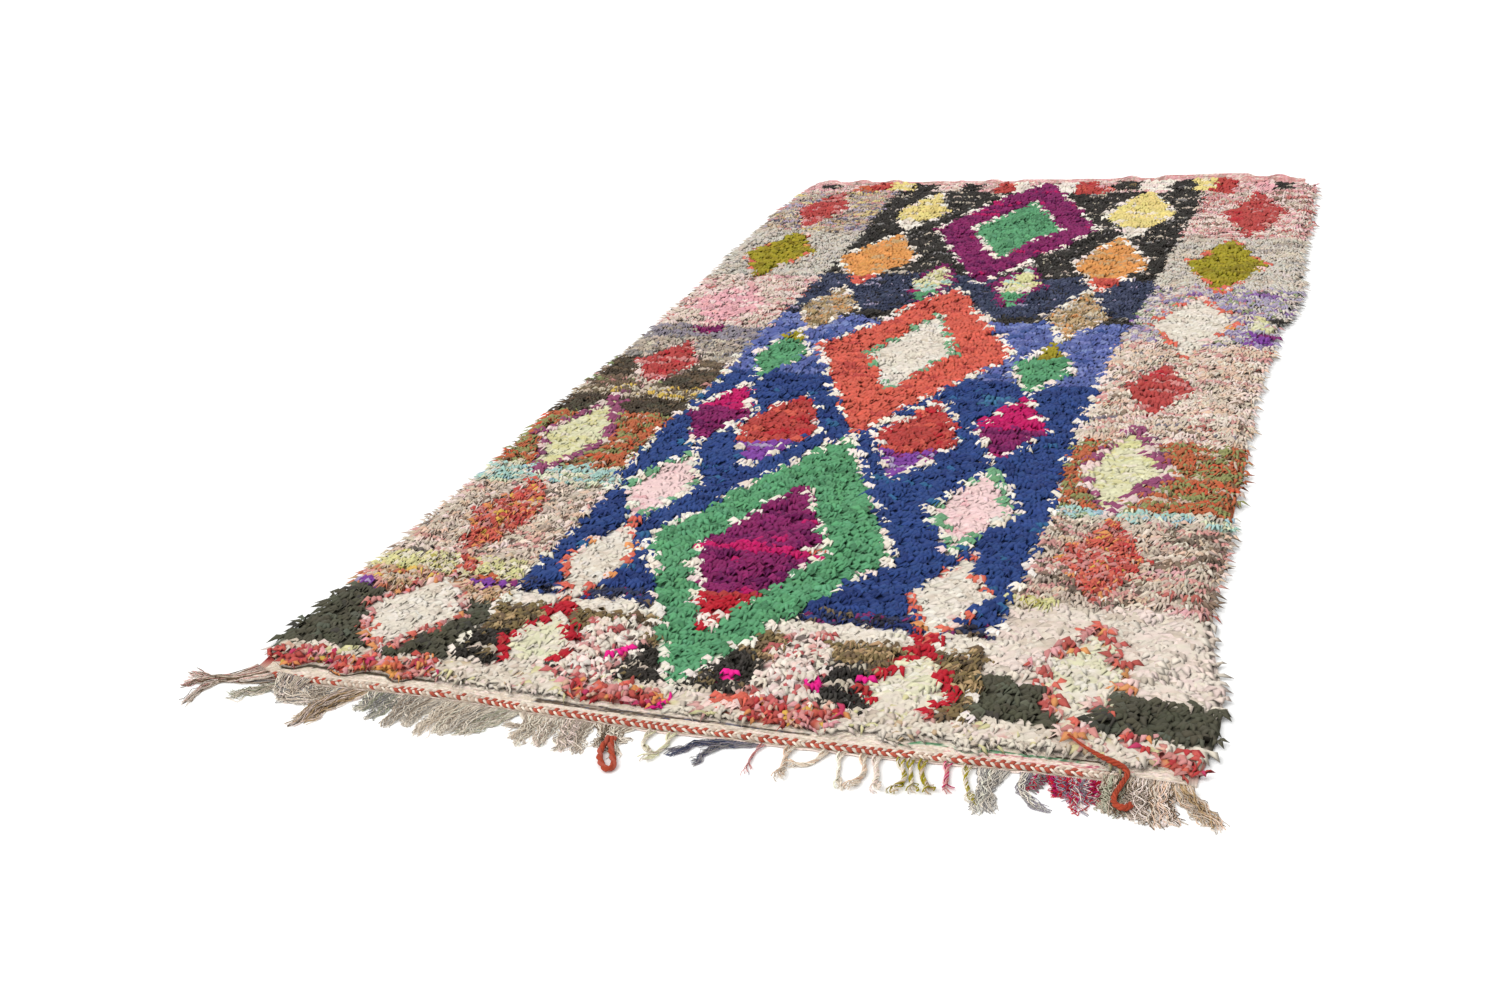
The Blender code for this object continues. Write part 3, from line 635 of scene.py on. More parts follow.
# Loop of thick red rag yarn that hangs out of the fringe: places across the rug and out from the cord
RING_POINTS = (
    (-0.0850, 0.038), (-0.0850, 0.052), (-0.0835, 0.068), (-0.0775, 0.084), (-0.0680, 0.097),
    (-0.0590, 0.104), (-0.0525, 0.101), (-0.0535, 0.092), (-0.0610, 0.079), (-0.0690, 0.066),
    (-0.0760, 0.052), (-0.0780, 0.038),
)

# Its middle over the floor, its plies, the length of one turn, how far a ply winds out, and its radius
RING_HEIGHT = 5.4 * MM
RING_PLIES = 2
RING_TWIST = 0.030
RING_WIND = 1.7 * MM
RING_PLY = 3.1 * MM

# Loose yarn: places of its centreline across and along the rug, and the height of its underside
YARN_POINTS = (
    (0.512, 0.0560, 0.0176),
    (0.528, 0.0420, 0.0170),
    (0.544, 0.0290, 0.0174),
    (0.562, 0.0190, 0.0164),
    (0.580, 0.0140, 0.0135),
    (0.591, 0.0080, 0.0113),
    (0.594, 0.0000, 0.0084),
    (0.590, -0.0150, 0.0060),
    (0.586, -0.0320, 0.0052),
    (0.585, -0.0470, 0.0046),
    (0.591, -0.0570, 0.0043),
    (0.601, -0.0580, 0.0042),
    (0.606, -0.0500, 0.0043),
)

# Its plies and the tone of each, the length of one turn, how far a ply winds out and its radius, the
# height of its middle, and its girth along its length
YARN_PLIES = 3
YARN_TONES = (0.86, 0.95, 1.06)
YARN_TWIST = 0.022
YARN_WIND = 1.9 * MM
YARN_PLY = 1.75 * MM
YARN_RADIUS = 3.6 * MM
YARN_GIRTH = (
    (0.00, 0.50), (0.22, 0.75), (0.42, 1.35), (0.58, 1.05), (0.80, 1.05), (0.92, 1.35), (1.00, 1.25),
)
LINE_STEP = 2.5 * MM

# Coloured wefts in the near band: from and to across the rug, their share of its depth, and their mix
WEFT_LINES = (
    (0.03, 0.30, 0.56, 0.74, "dark brown"),
    (0.47, 0.68, 0.32, 0.58, "dark weft"),
    (0.68, 0.88, 0.44, 0.58, "dark weft"),
    (1.00, 1.24, 0.46, 0.60, "green weft"),
    (1.20, 1.27, 0.60, 0.72, "dark brown"),
    (1.06, 1.30, 0.00, 0.46, "pink specks"),
)

# Camera, from the rug's four corners in the picture, whose frame is 1500 by 1000 pixels
PICTURE_WIDTH = 1500
FOCAL_PIXELS = 1531.4
SENSOR_WIDTH = 36.0
CAMERA_PLACE = (0.8112, -2.8660, 1.1929)
CAMERA_DOWN = 0.459676
CAMERA_LEFT = 0.411218
CAMERA_ROLL = -0.110342

# Stage: side of the floor, and the tilt, turn and angular size of the broad light
FLOOR_SIZE = 60
LIGHT_TILT = math.radians(38)
LIGHT_TURN = math.radians(-60)
LIGHT_SPREAD = math.radians(50)

# A tuft: blades of one knot, the size of a blade's root as a share of its width, how much wider and
# thinner its crest is, the crest's tilt, the painted shade that darkens its root and the painted light that brightens
# its tip
BLADES = 3
BLADE_ROOT = 0.42
CREST_WIDTH = 1.5
CREST_THICKNESS = 0.5
CREST_TILT = math.radians(72)
ROOT_PAINTED_SHADE = 0.94
TIP_PAINTED_LIGHT = 1.03

# Modelled tufts of each kind, and the width, reach and fan of a rag tuft and of a yarn tuft
TUFT_VARIANTS = 10
RAG_TUFT = (9.6 * MM, 19 * MM, 0.62)
YARN_TUFT = (6.2 * MM, 17 * MM, 0.6)

# Planted tufts: height of their knots, height and reach of a common tuft, how far from its knot it
# shows its colour, and how many pieces the pile is joined in
ROOT_HEIGHT = 3 * MM
TUFT_HEIGHT = 14 * MM
TUFT_REACH = 27 * MM
LEAN_REACH = 13 * MM
PILE_PIECES = 5

# Limits of the pile: how high the slab is where it is pile, how far the near and far limits lie
# beyond that, and how far the sides are filled out (place along, left side, right side)
PILE_EDGE_HEIGHT = 7 * MM
NEAR_OUT = 4 * MM
FAR_OUT = 0.01
SIDE_FILL = (
    (-1.30, 0.013, 0.012),
    (-1.20, 0.013, 0.012),
    (-1.08, 0.008, 0.005),
    (-0.90, 0.008, 0.0),
    (1.30, 0.005, 0.0),
)

# How far tufts hang over the near limit and the sides, the share of that for fleece, and the least
# length of a tuft that is kept short by a side or by the near limit
OVERHANG = 3 * MM
SIDE_OVERHANG = 6.5 * MM
FLEECE_OVERHANG = 0.1
SHORTEST_SHARE = 0.32
SHORTEST_NEAR = 0.2

# Dye of a knot: how far it is blended with its mix, how often it is the same along a run of knots,
# and how often a blade has a dye of its own
DYE_BLEND = 0.22
RUN_SHARE = 0.6
ODD_BLADES = 0.45

# Mixes tied with soft pale fleece, mixes whose dye changes from knot to knot, and crinkled ones
FLEECE = ("cream", "yellow cream", "pinkish cream", "pale lime", "pale pink", "cream mottle")
MOTLEY = ("red shag", "red dots", "red mottle", "white and crimson", "cream mottle")
CRINKLED = ("red shag", "red dots", "white and crimson", "hot pink", "mustard")

# What sets fleece and crinkled tufts apart, as shares of a common tuft, and how far crinkled ones turn
FLEECE_WIDTH = 1.35
FLEECE_HEIGHT = 0.8
FLEECE_SHADE = 0.93
FLEECE_SOFTNESS = 4.5
CRINKLE_TURN = 1.4
CRINKLE_HEIGHT = 1.12
CRINKLE_LENGTH = 0.72

# How far loose fibres spread the light over the pile, as a lean of its shading towards straight up
PILE_SOFTNESS = 0.9

# Bed of the pile: cells across and along, its height as a share of the slab's, for rags and for
# fleece, how uneven that is, its painted shade under the tufts, and the height of its rim as a share of the knots'
BED_CELLS = (100, 190)
BED_SHARE = 0.42
FLEECE_BED_SHARE = 0.60
BED_UNEVEN = 0.16
BED_PAINTED_SHADE = 0.92
BED_RIM = 0.8

# Woven ground: cells across and along, its painted shade under the knots, its flat size, how far it goes
# beyond the pile at the far end and stays inside its sides, and how far its colours stray
GROUND_CELLS = (40, 76)
GROUND_PAINTED_SHADE = 0.95
GROUND_FLAT = (1.38, 2.66)
GROUND_END = 4 * MM
GROUND_INSET = 4 * MM
GROUND_STRAY = 0.004

# Flat-woven ends: places across, left and right end, thickness, depth of the far one, and how far
# each is tucked under the pile
BAND_STATIONS = 360
BAND_ENDS = (-0.690, 0.665)
BAND_THICKNESS = 0.8 * MM
FAR_BAND = 15 * MM
NEAR_TUCK = 0.010
FAR_TUCK = 0.006

# Their ribs: height of a rib and of the dip beside it, and height and pitch of the stitches on it
RIB_TOP = 1.5 * MM
RIB_DIP = 0.5 * MM
STITCH_BEAD = 0.35 * MM
BEAD_PITCH = 1.9 * MM

# Curl of the far end off the floor: place across and height, how uneven it is, and its bend
FAR_CURL = (
    (-0.69, 0.008), (-0.30, 0.011), (0.10, 0.012), (0.45, 0.022), (0.58, 0.021), (0.67, 0.015),
)
CURL_UNEVEN = 0.12
CURL_BEND = 1.3

# Twined cord: half its width, steps of a stitch, and in shares of a ply's thickness the distance of
# its two rows from its middle line, the height of their middle, and how far a ply winds out from it
CORD_CLEAR = 4.8 * MM
CORD_STEPS = 8
CORD_ROW = 0.52
CORD_MIDDLE = 0.76
CORD_WIND = 0.30

rng = np.random.default_rng(5)


def linear(hex_colour):
    """Linear red, green and blue of an sRGB hex colour."""
    parts = [int(hex_colour[i:i + 2], 16) / 255 for i in (1, 3, 5)]
    return tuple(c / 12.92 if c <= 0.04045 else ((c + 0.055) / 1.055) ** 2.4 for c in parts)


def dye_property(name):
    """Colour property of one dye."""
    words = name.replace("_", " ")
    return bpy.props.FloatVectorProperty(
        name=words.capitalize(), description=f"Colour of the {words} rags and yarns",
        subtype="COLOR", size=3, min=0, max=1, default=linear(DYES[name]),
    )


class RugDyes(bpy.types.PropertyGroup):
    """Colours that the rags and yarns are dyed in"""
    __annotations__ = {name: dye_property(name) for name in DYES}


class RugPile(bpy.types.PropertyGroup):
    """Sizes of the knotted pile"""
    rag_pitch: bpy.props.FloatProperty(
        name="Rag knot pitch", description="Distance between knots tied with rag strips",
        default=0.0140, min=0.008, max=0.04, unit="LENGTH",
    )
    yarn_pitch: bpy.props.FloatProperty(
        name="Yarn knot pitch", description="Distance between knots tied with thin yarn",
        default=0.0107, min=0.006, max=0.04, unit="LENGTH",
    )
    lean_spread: bpy.props.FloatProperty(
        name="Lean spread", description="How far the tufts turn from the common lean",
        default=0.34, min=0, max=3, unit="ROTATION",
    )
    knot_uneven: bpy.props.FloatProperty(
        name="Uneven knots", description="How far a knot strays from its row, as a share of the pitch",
        default=0.36, min=0, max=1, subtype="FACTOR",
    )
    raggedness: bpy.props.FloatProperty(
        name="Ragged motifs", description="How far the edge of a motif strays from its line",
        default=0.0045, min=0, max=0.03, unit="LENGTH",
    )


class RugEnds(bpy.types.PropertyGroup):
    """Sizes of the woven ends, the twined cord and the fringe"""
    ground_thickness: bpy.props.FloatProperty(
        name="Ground thickness", description="Thickness of the woven ground",
        default=0.003, min=0.001, max=0.01, unit="LENGTH",
    )
    rib_pitch: bpy.props.FloatProperty(
        name="Rib pitch", description="Distance between weft ribs in the flat-woven ends",
        default=0.0032, min=0.001, max=0.01, unit="LENGTH",
    )
    cord_ply: bpy.props.FloatProperty(
        name="Cord ply", description="Thickness of one ply of the twined cord",
        default=0.0056, min=0.001, max=0.01, unit="LENGTH",
    )
    stitch: bpy.props.FloatProperty(
        name="Cord stitch", description="Length of one stitch of the twined cord",
        default=0.013, min=0.005, max=0.03, unit="LENGTH",
    )


class RugStage(bpy.types.PropertyGroup):
    """Floor and light round the rug"""
    floor_colour: bpy.props.FloatVectorProperty(
        name="Floor colour", description="Colour of the plain studio floor",
        subtype="COLOR", size=3, min=0, max=1, default=linear("#fbfbfa"),
    )
    key_strength: bpy.props.FloatProperty(
        name="Key light", description="Strength of the broad soft light over the rug",
        default=1.75, min=0, max=20,
    )
    sky_strength: bpy.props.FloatProperty(
        name="Surround", description="Strength of the even light from all round",
        default=0.86, min=0, max=10,
    )


def node(tree, kind, settings, **sockets):
    """Adds a shader node with its settings and its inputs, each a value or another node's output."""
    made = tree.nodes.new(kind)
    for name, value in settings.items():
        setattr(made, name, value)
    for name, value in sockets.items():
        socket = made.inputs[int(name[1:])] if name[0] == "_" and name[1:].isdigit() else (
            made.inputs[name.replace("_", " ")])
        if isinstance(value, bpy.types.NodeSocket):
            tree.links.new(value, socket)
        else:
            socket.default_value = value
    return made


def new_material(name, roughness, sheen):
    """A material whose shader has the steady values of matt cloth."""
    material = bpy.data.materials.new(name)
    material.use_nodes = True
    shader = material.node_tree.nodes["Principled BSDF"]
    shader.inputs["Roughness"].default_value = roughness
    shader.inputs["Sheen Weight"].default_value = sheen
    shader.inputs["Sheen Roughness"].default_value = 0.5
    shader.inputs["Specular IOR Level"].default_value = 0.06
    return material, material.node_tree, shader


def cut_rag_material():
    """Cut cotton and wool rags, tufted: matt, with a slight bloom of loose fibres at their cut edges."""
    material, tree, shader = new_material("cut_cotton_rag_pile", 0.95, 0.06)
    place = node(tree, "ShaderNodeTexCoord", {}).outputs["Object"]
    tint = node(tree, "ShaderNodeAttribute", {"attribute_name": "tint"}).outputs["Color"]
    fleecy = node(tree, "ShaderNodeAttribute", {"attribute_name": "fleecy"}).outputs["Fac"]
    weave = node(tree, "ShaderNodeTexNoise", {}, Vector=place, Scale=1 / (9 * MM), Detail=3.0,
                 Roughness=0.6)
    shade = node(tree, "ShaderNodeMapRange", {}, Value=weave.outputs["Fac"], _1=0.25, _2=0.75, _3=0.9,
                 _4=1.1)
    colour = node(tree, "ShaderNodeVectorMath", {"operation": "SCALE"}, _0=tint,
                  Scale=shade.outputs["Result"])
    fibres = node(tree, "ShaderNodeTexNoise", {}, Vector=place, Scale=1 / (1.2 * MM), Detail=2.0)
    bump = node(tree, "ShaderNodeBump", {}, Strength=0.35, Distance=0.6 * MM,
                Height=fibres.outputs["Fac"])
    softness = node(tree, "ShaderNodeVectorMath", {"operation": "SCALE"}, _0=(0, 0, PILE_SOFTNESS),
                    Scale=fleecy)
    upward = node(tree, "ShaderNodeVectorMath", {"operation": "ADD"}, _0=bump.outputs["Normal"],
                  _1=softness.outputs["Vector"])
    soft = node(tree, "ShaderNodeVectorMath", {"operation": "NORMALIZE"}, _0=upward.outputs["Vector"])
    tree.links.new(colour.outputs["Vector"], shader.inputs["Base Color"])
    tree.links.new(soft.outputs["Vector"], shader.inputs["Normal"])
    return material


def spun_wool_material():
    """Hand-spun wool and cotton thread: matt, hairy, uneven in tone along its length."""
    material, tree, shader = new_material("hand_spun_wool_thread", 0.95, 0.04)
    place = node(tree, "ShaderNodeTexCoord", {}).outputs["Object"]
    tint = node(tree, "ShaderNodeAttribute", {"attribute_name": "tint"}).outputs["Color"]
    slub = node(tree, "ShaderNodeTexNoise", {}, Vector=place, Scale=1 / (4 * MM), Detail=3.0)
    shade = node(tree, "ShaderNodeMapRange", {}, Value=slub.outputs["Fac"], _1=0.25, _2=0.75, _3=0.78,
                 _4=1.15)
    colour = node(tree, "ShaderNodeVectorMath", {"operation": "SCALE"}, _0=tint,
                  Scale=shade.outputs["Result"])
    hairs = node(tree, "ShaderNodeTexNoise", {}, Vector=place, Scale=1 / (0.8 * MM), Detail=2.0)
    bump = node(tree, "ShaderNodeBump", {}, Strength=0.4, Distance=0.5 * MM, Height=hairs.outputs["Fac"])
    tree.links.new(colour.outputs["Vector"], shader.inputs["Base Color"])
    tree.links.new(bump.outputs["Normal"], shader.inputs["Normal"])
    return material


def plain_weave_material():
    """Weft-faced plain weave of thick cotton: rows of short rounded stitches across the rug, with painted shade in the
    dips between them.
    """
    material, tree, shader = new_material("plain_woven_cotton_ground", 0.95, 0.03)
    place = node(tree, "ShaderNodeTexCoord", {}).outputs["Object"]
    tint = node(tree, "ShaderNodeAttribute", {"attribute_name": "tint"}).outputs["Color"]
    warp = node(tree, "ShaderNodeTexWave", {"bands_direction": "X", "wave_profile": "SIN"},
                Vector=place, Scale=0.314 / (4 * MM), Distortion=1.5, Detail=1.0)
    weft = node(tree, "ShaderNodeTexWave", {"bands_direction": "Y", "wave_profile": "SIN"},
                Vector=place, Scale=0.314 / (2.4 * MM), Distortion=2.0, Detail=1.0)
    grid = node(tree, "ShaderNodeMath", {"operation": "MULTIPLY"}, _0=warp.outputs["Fac"],
                _1=weft.outputs["Fac"])
    # Painted shade: the colour is darker where the stitches dip and lighter on their tops
    shade = node(tree, "ShaderNodeMapRange", {}, Value=grid.outputs["Value"], _1=0.0, _2=0.8, _3=0.7,
                 _4=1.08)
    colour = node(tree, "ShaderNodeVectorMath", {"operation": "SCALE"}, _0=tint,
                  Scale=shade.outputs["Result"])
    bump = node(tree, "ShaderNodeBump", {}, Strength=0.6, Distance=0.8 * MM,
                Height=grid.outputs["Value"])
    tree.links.new(colour.outputs["Vector"], shader.inputs["Base Color"])
    tree.links.new(bump.outputs["Normal"], shader.inputs["Normal"])
    return material


def floor_material(colour):
    """Plain matt studio floor."""
    material, _, shader = new_material("matt_studio_floor", 0.8, 0.0)
    shader.inputs["Base Color"].default_value = (*colour, 1)
    return material


def finish(obj, material, slot, *nodes):
    """Gives a finished piece its material, its body, its record slot and the nodes it stands for."""
    obj.data.materials.clear()
    obj.data.materials.append(material)
    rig.ride(obj, "root")
    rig.slot(obj, slot)
    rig.replaces(obj, *nodes)
    return obj


def mesh_object(name, points, triangles, tints):
    """An object of a mesh from arrays of points, triangles and one linear tint per point."""
    mesh = bpy.data.meshes.new(name)
    mesh.vertices.add(len(points))
    mesh.vertices.foreach_set("co", np.asarray(points, np.float32).ravel())
    mesh.loops.add(3 * len(triangles))
    mesh.loops.foreach_set("vertex_index", np.asarray(triangles, np.int32).ravel())
    mesh.polygons.add(len(triangles))
    mesh.polygons.foreach_set("loop_start", np.arange(0, 3 * len(triangles), 3, dtype=np.int32))
    mesh.update(calc_edges=True)
    set_tints(mesh, tints)
    obj = bpy.data.objects.new(name, mesh)
    bpy.context.scene.collection.objects.link(obj)
    return obj


def set_tints(mesh, tints):
    """Stores one linear colour per point as the attribute that the materials read."""
    layer = mesh.attributes.new("tint", "FLOAT_COLOR", "POINT")
    values = np.ones((len(mesh.vertices), 4), np.float32)
    values[:, :3] = tints
    layer.data.foreach_set("color", values.ravel())


def set_fleecy(mesh, values):
    """Stores how many times softer than the rest of the pile the shading of each point is."""
    layer = mesh.attributes.new("fleecy", "FLOAT", "POINT")
    layer.data.foreach_set("value", np.asarray(values, np.float32))


def node_points(name):
    """Points of a CAD node's mesh."""
    mesh = frame["nodes"][name].data
    points = np.empty(3 * len(mesh.vertices), np.float32)
    mesh.vertices.foreach_get("co", points)
    return points.reshape(-1, 3)


def surface_over(name):
    """A function that gives the height of a CAD node's upper surface at a place, or None beside it."""
    mesh = frame["nodes"][name].data
    tree = BVHTree.FromPolygons([v.co for v in mesh.vertices], [f.vertices for f in mesh.polygons])

    def height(x, y):
        hit = tree.ray_cast(Vector((x, y, 1.0)), Vector((0, 0, -1)))[0]
        return None if hit is None else hit.z

    return height


def cord_middle():
    """Stations along the twined cord's node, and its middle line there."""
    points = node_points("end_cord")
    stations = np.linspace(points[:, 0].min() + 0.006, points[:, 0].max() - 0.006, 90)
    middle = []
    for x in stations:
        near = points[np.abs(points[:, 0] - x) < 0.008]
        middle.append((near[:, 1].min() + near[:, 1].max()) / 2)
    return stations, np.convolve(np.pad(middle, 2, mode="edge"), np.ones(5) / 5, mode="valid")


CORD_STATIONS, CORD_LINE = cord_middle()


def cord_y(x):
    """Middle line of the twined cord at places across the rug."""
    return np.interp(x, CORD_STATIONS, CORD_LINE)


def drift(x, y, scale, phase):
    """A slow smooth wander between about -1 and 1 over the rug, with swells of the given size."""
    a = x / scale
    b = y / scale
    return (np.sin(1.9 * a + 1.1 * b + phase) + np.sin(2.3 * b - 1.4 * a + 2.7 * phase)
            + np.sin(3.1 * a - 0.7 * b + 5.1 * phase)) / 3


def band_mix(bands, along):
    """Mix of each place in a field, from the table of its bands."""
    names = np.full(len(along), bands[0][1], dtype=object)
    for upper, mix in bands[1:]:
        names[along < upper] = mix
    return names


def charted(across, along, stray):
    """Name of the mix at each place of the chart, with edges that stray by up to stray."""
    u = across + stray * (rng.uniform(-1, 1, len(across)) + 1.2 * drift(along, across, 0.016, 1.0))
    v = along + stray * (rng.uniform(-1, 1, len(across)) + 1.8 * drift(across, along, 0.045, 4.0))
    left = np.interp(v, [row[0] for row in BORDERS], [row[1] for row in BORDERS])
    right = np.interp(v, [row[0] for row in BORDERS], [row[2] for row in BORDERS])
    names = band_mix(MIDDLE_BANDS, v)
    names = np.where(u < left, band_mix(LEFT_BANDS, v), names)
    names = np.where(u > right, band_mix(RIGHT_BANDS, v), names)
    patchy = 0.85 + 0.6 * drift(across, along, 0.018, 2.2)
    edged = (v > STITCHED_ALONG[0]) & (v < STITCHED_ALONG[1])
    for border, side in ((left, -1), (right, 1)):
        from_line = side * (u - border)
        names[edged & (from_line > -STITCH_INNER) & (from_line < STITCH_OUTER * patchy)] = "white"
    for x0, x1, y0, y1, mix in PATCHES:
        names[(u > x0) & (u < x1) & (v > y0) & (v < y1)] = mix
    for row in LOZENGES:
        loz = dict(zip(LOZENGE_COLUMNS, row))
        rise = np.where(v > loz["along"], loz["up"], loz["down"])
        size = np.abs(u - loz["across"]) / loz["half_width"] + np.abs(v - loz["along"]) / rise
        outside = (size - 1) / np.hypot(1 / loz["half_width"], 1 / rise)
        edge = loz["edge"] * (patchy if loz["edging"] == "white" else 1)
        names[(outside >= 0) & (outside < edge)] = loz["edging"]
        names[outside < 0] = loz["mix"]
        names[(outside < 0) & (v < loz["split"])] = loz["lower"]
    stripe = (v > STRIPE_ALONG[0]) & (v < STRIPE_ALONG[1])
    stripe &= np.abs(u - STRIPE_ACROSS[0]) < STRIPE_ACROSS[1]
    names[stripe & (names == "plum")] = "raspberry"
    return names


def dyed(names, rows, runs, dyes):
    """Linear colour of each knot: a dye of its mix, often the same along a run of its row."""
    table = np.array([dyes[name] for name in DYES])
    numbers = {name: k for k, name in enumerate(DYES)}
    own = rng.random(len(names))
    shared = np.modf(np.abs(np.sin(rows * 12.9898 + runs * 78.233)) * 43758.5453)[0]
    motley = np.isin(names.astype(str), MOTLEY)
    pick = np.where(~motley & (rng.random(len(names)) < RUN_SHARE), shared, own)
    colours = np.zeros((len(names), 3))
    for name, (_, shares) in MIXES.items():
        inside = names == name
        edges = np.cumsum(list(shares.values())) / sum(shares.values())
        choice = np.minimum(np.searchsorted(edges, pick[inside]), len(shares) - 1)
        index = np.array([numbers[d] for d in shares])
        mean = np.average(table[index], axis=0, weights=list(shares.values()))
        colours[inside] = table[index[choice]] * (1 - DYE_BLEND) + mean * DYE_BLEND
    fleece = np.isin(names.astype(str), FLEECE)[:, None]
    steady = np.where(fleece, 0.5, 1.0)
    tone = np.where(fleece, FLEECE_SHADE, 1) * (1 + rng.normal(0, 0.06, (len(names), 1)) * steady)
    hue = 1 + rng.normal(0, 0.025, (len(names), 3)) * steady
    return np.clip(colours * tone * hue, 0.004, 0.95)


def start_mesh(name):
    """A new empty mesh object in edit mode, alone selected."""
    bpy.ops.object.select_all(action="DESELECT")
    obj = bpy.data.objects.new(name, bpy.data.meshes.new(name))
    bpy.context.scene.collection.objects.link(obj)
    bpy.context.view_layer.objects.active = obj
    obj.select_set(True)
    bpy.ops.object.mode_set(mode="EDIT")
    return obj


def add_blade(heading, run, rise, reach, droop, width):
    """One end of a cut strip: three-sided, up out of its knot, over a crest and down to its tip."""
    ahead = Vector((math.sin(heading), math.cos(heading), 0))
    side = Vector((math.cos(heading), -math.sin(heading), 0))
    bpy.ops.mesh.primitive_circle_add(
        vertices=3, radius=width * BLADE_ROOT, fill_type="NGON", rotation=(0, 0, math.pi - heading),
    )
    crest = ahead * run + Vector((0, 0, rise))
    turned = {
        "orient_type": "GLOBAL", "orient_matrix_type": "GLOBAL", "center_override": crest,
        "orient_matrix": Matrix((side, ahead, Vector((0, 0, 1)))).transposed(),
    }
    bpy.ops.mesh.extrude_region_move(TRANSFORM_OT_translate={"value": crest})
    bpy.ops.transform.resize(value=(CREST_WIDTH, CREST_THICKNESS, 1), **turned)
    bpy.ops.transform.rotate(value=CREST_TILT, orient_axis="X", **turned)
    bpy.ops.mesh.extrude_region_move(
        TRANSFORM_OT_translate={"value": ahead * reach + Vector((0, 0, -droop))},
    )
    bpy.ops.mesh.merge(type="CENTER")


def model_tuft(name, width, reach, fan):
    """A modelled tuft of a few blades out of one knot: its points, triangles and root-to-tip painted shading, painted
    shade at the root and painted light at the tip.
    """
    obj = start_mesh(name)
    for k in range(BLADES):
        heading = fan * (k - (BLADES - 1) / 2) + rng.uniform(-0.16, 0.16)
        add_blade(
            heading, rng.uniform(6, 11) * MM, rng.uniform(10, 12) * MM,
            reach * rng.uniform(0.8, 1.2), rng.uniform(2, 6) * MM, width * rng.uniform(0.8, 1.2),
        )
    bpy.ops.mesh.select_all(action="SELECT")
    bpy.ops.mesh.quads_convert_to_tris()
    bpy.ops.mesh.normals_make_consistent(inside=False)
    bpy.ops.object.mode_set(mode="OBJECT")
    points = np.array([v.co for v in obj.data.vertices])
    triangles = np.array([f.vertices for f in obj.data.polygons])
    bpy.data.objects.remove(obj, do_unlink=True)
    out = np.linalg.norm(points, axis=1)
    # Painted shade and light: each point darker towards the knot and lighter towards the tip
    return points, triangles, ROOT_PAINTED_SHADE + (TIP_PAINTED_LIGHT - ROOT_PAINTED_SHADE) * out / out.max()


def plant(name, tufts, picks, places, headings, sizes, tints, fleecy):
    """One joined mesh of copies of the modelled tufts, each with its place, heading, size and dyes."""
    points = np.array([t[0] for t in tufts])[picks] * sizes[:, None, :]
    points = points + rng.normal(0, 0.5 * MM, points.shape)
    cos = np.cos(headings)[:, None]
    sin = np.sin(headings)[:, None]
    turned = np.stack((
        points[:, :, 0] * cos - points[:, :, 1] * sin,
        points[:, :, 0] * sin + points[:, :, 1] * cos,
        np.maximum(points[:, :, 2], 0),
    ), axis=2) + places[:, None, :]
    turned[:, :, 2] = np.maximum(turned[:, :, 2], 0.4 * MM)
    count = points.shape[1]
    triangles = np.array([t[1] for t in tufts])[picks]
    triangles = triangles + count * np.arange(len(picks))[:, None, None]
    painted_shading = np.array([t[2] for t in tufts])[picks]
    # Each point's dye times the tuft's painted shading: painted shade at the root, painted light at the tip
    colours = np.repeat(tints, count // BLADES, axis=1) * painted_shading[:, :, None]
    obj = mesh_object(name, turned.reshape(-1, 3), triangles.reshape(-1, 3), colours.reshape(-1, 3))
    set_fleecy(obj.data, np.repeat(fleecy, count))
    return obj


def tubes(name, paths, radii, tints, sides=3):
    """One joined mesh of closed tubes along paths (tubes, points, 3), with a radius per point."""
    ahead = np.gradient(paths, axis=1)
    ahead = ahead / np.maximum(np.linalg.norm(ahead, axis=2, keepdims=True), 1e-9)
    side = np.cross(ahead, (0.0, 0.0, 1.0))
    side = side / np.maximum(np.linalg.norm(side, axis=2, keepdims=True), 1e-9)
    lift = np.cross(side, ahead)
    angles = 2 * math.pi * np.arange(sides) / sides
    ring = np.cos(angles)[:, None] * side[:, :, None, :] + np.sin(angles)[:, None] * lift[:, :, None, :]
    points = paths[:, :, None, :] + radii[:, :, None, None] * ring
    count, length = paths.shape[:2]
    low = np.arange(length - 1)[:, None] * sides + np.arange(sides)
    nxt = np.arange(length - 1)[:, None] * sides + (np.arange(sides) + 1) % sides
    walls = np.concatenate((
        np.stack((low, low + sides, nxt), axis=2).reshape(-1, 3),
        np.stack((nxt, low + sides, nxt + sides), axis=2).reshape(-1, 3),
    ))
    fan = np.array([(0, k, k + 1) for k in range(1, sides - 1)])
    one = np.concatenate((walls, fan, fan[:, ::-1] + (length - 1) * sides))
    triangles = one[None] + length * sides * np.arange(count)[:, None, None]
    colours = np.repeat(tints, length * sides, axis=0) if tints.ndim == 2 else (
        np.repeat(tints.reshape(-1, 3), sides, axis=0))
    return mesh_object(name, points.reshape(-1, 3), triangles.reshape(-1, 3), colours)


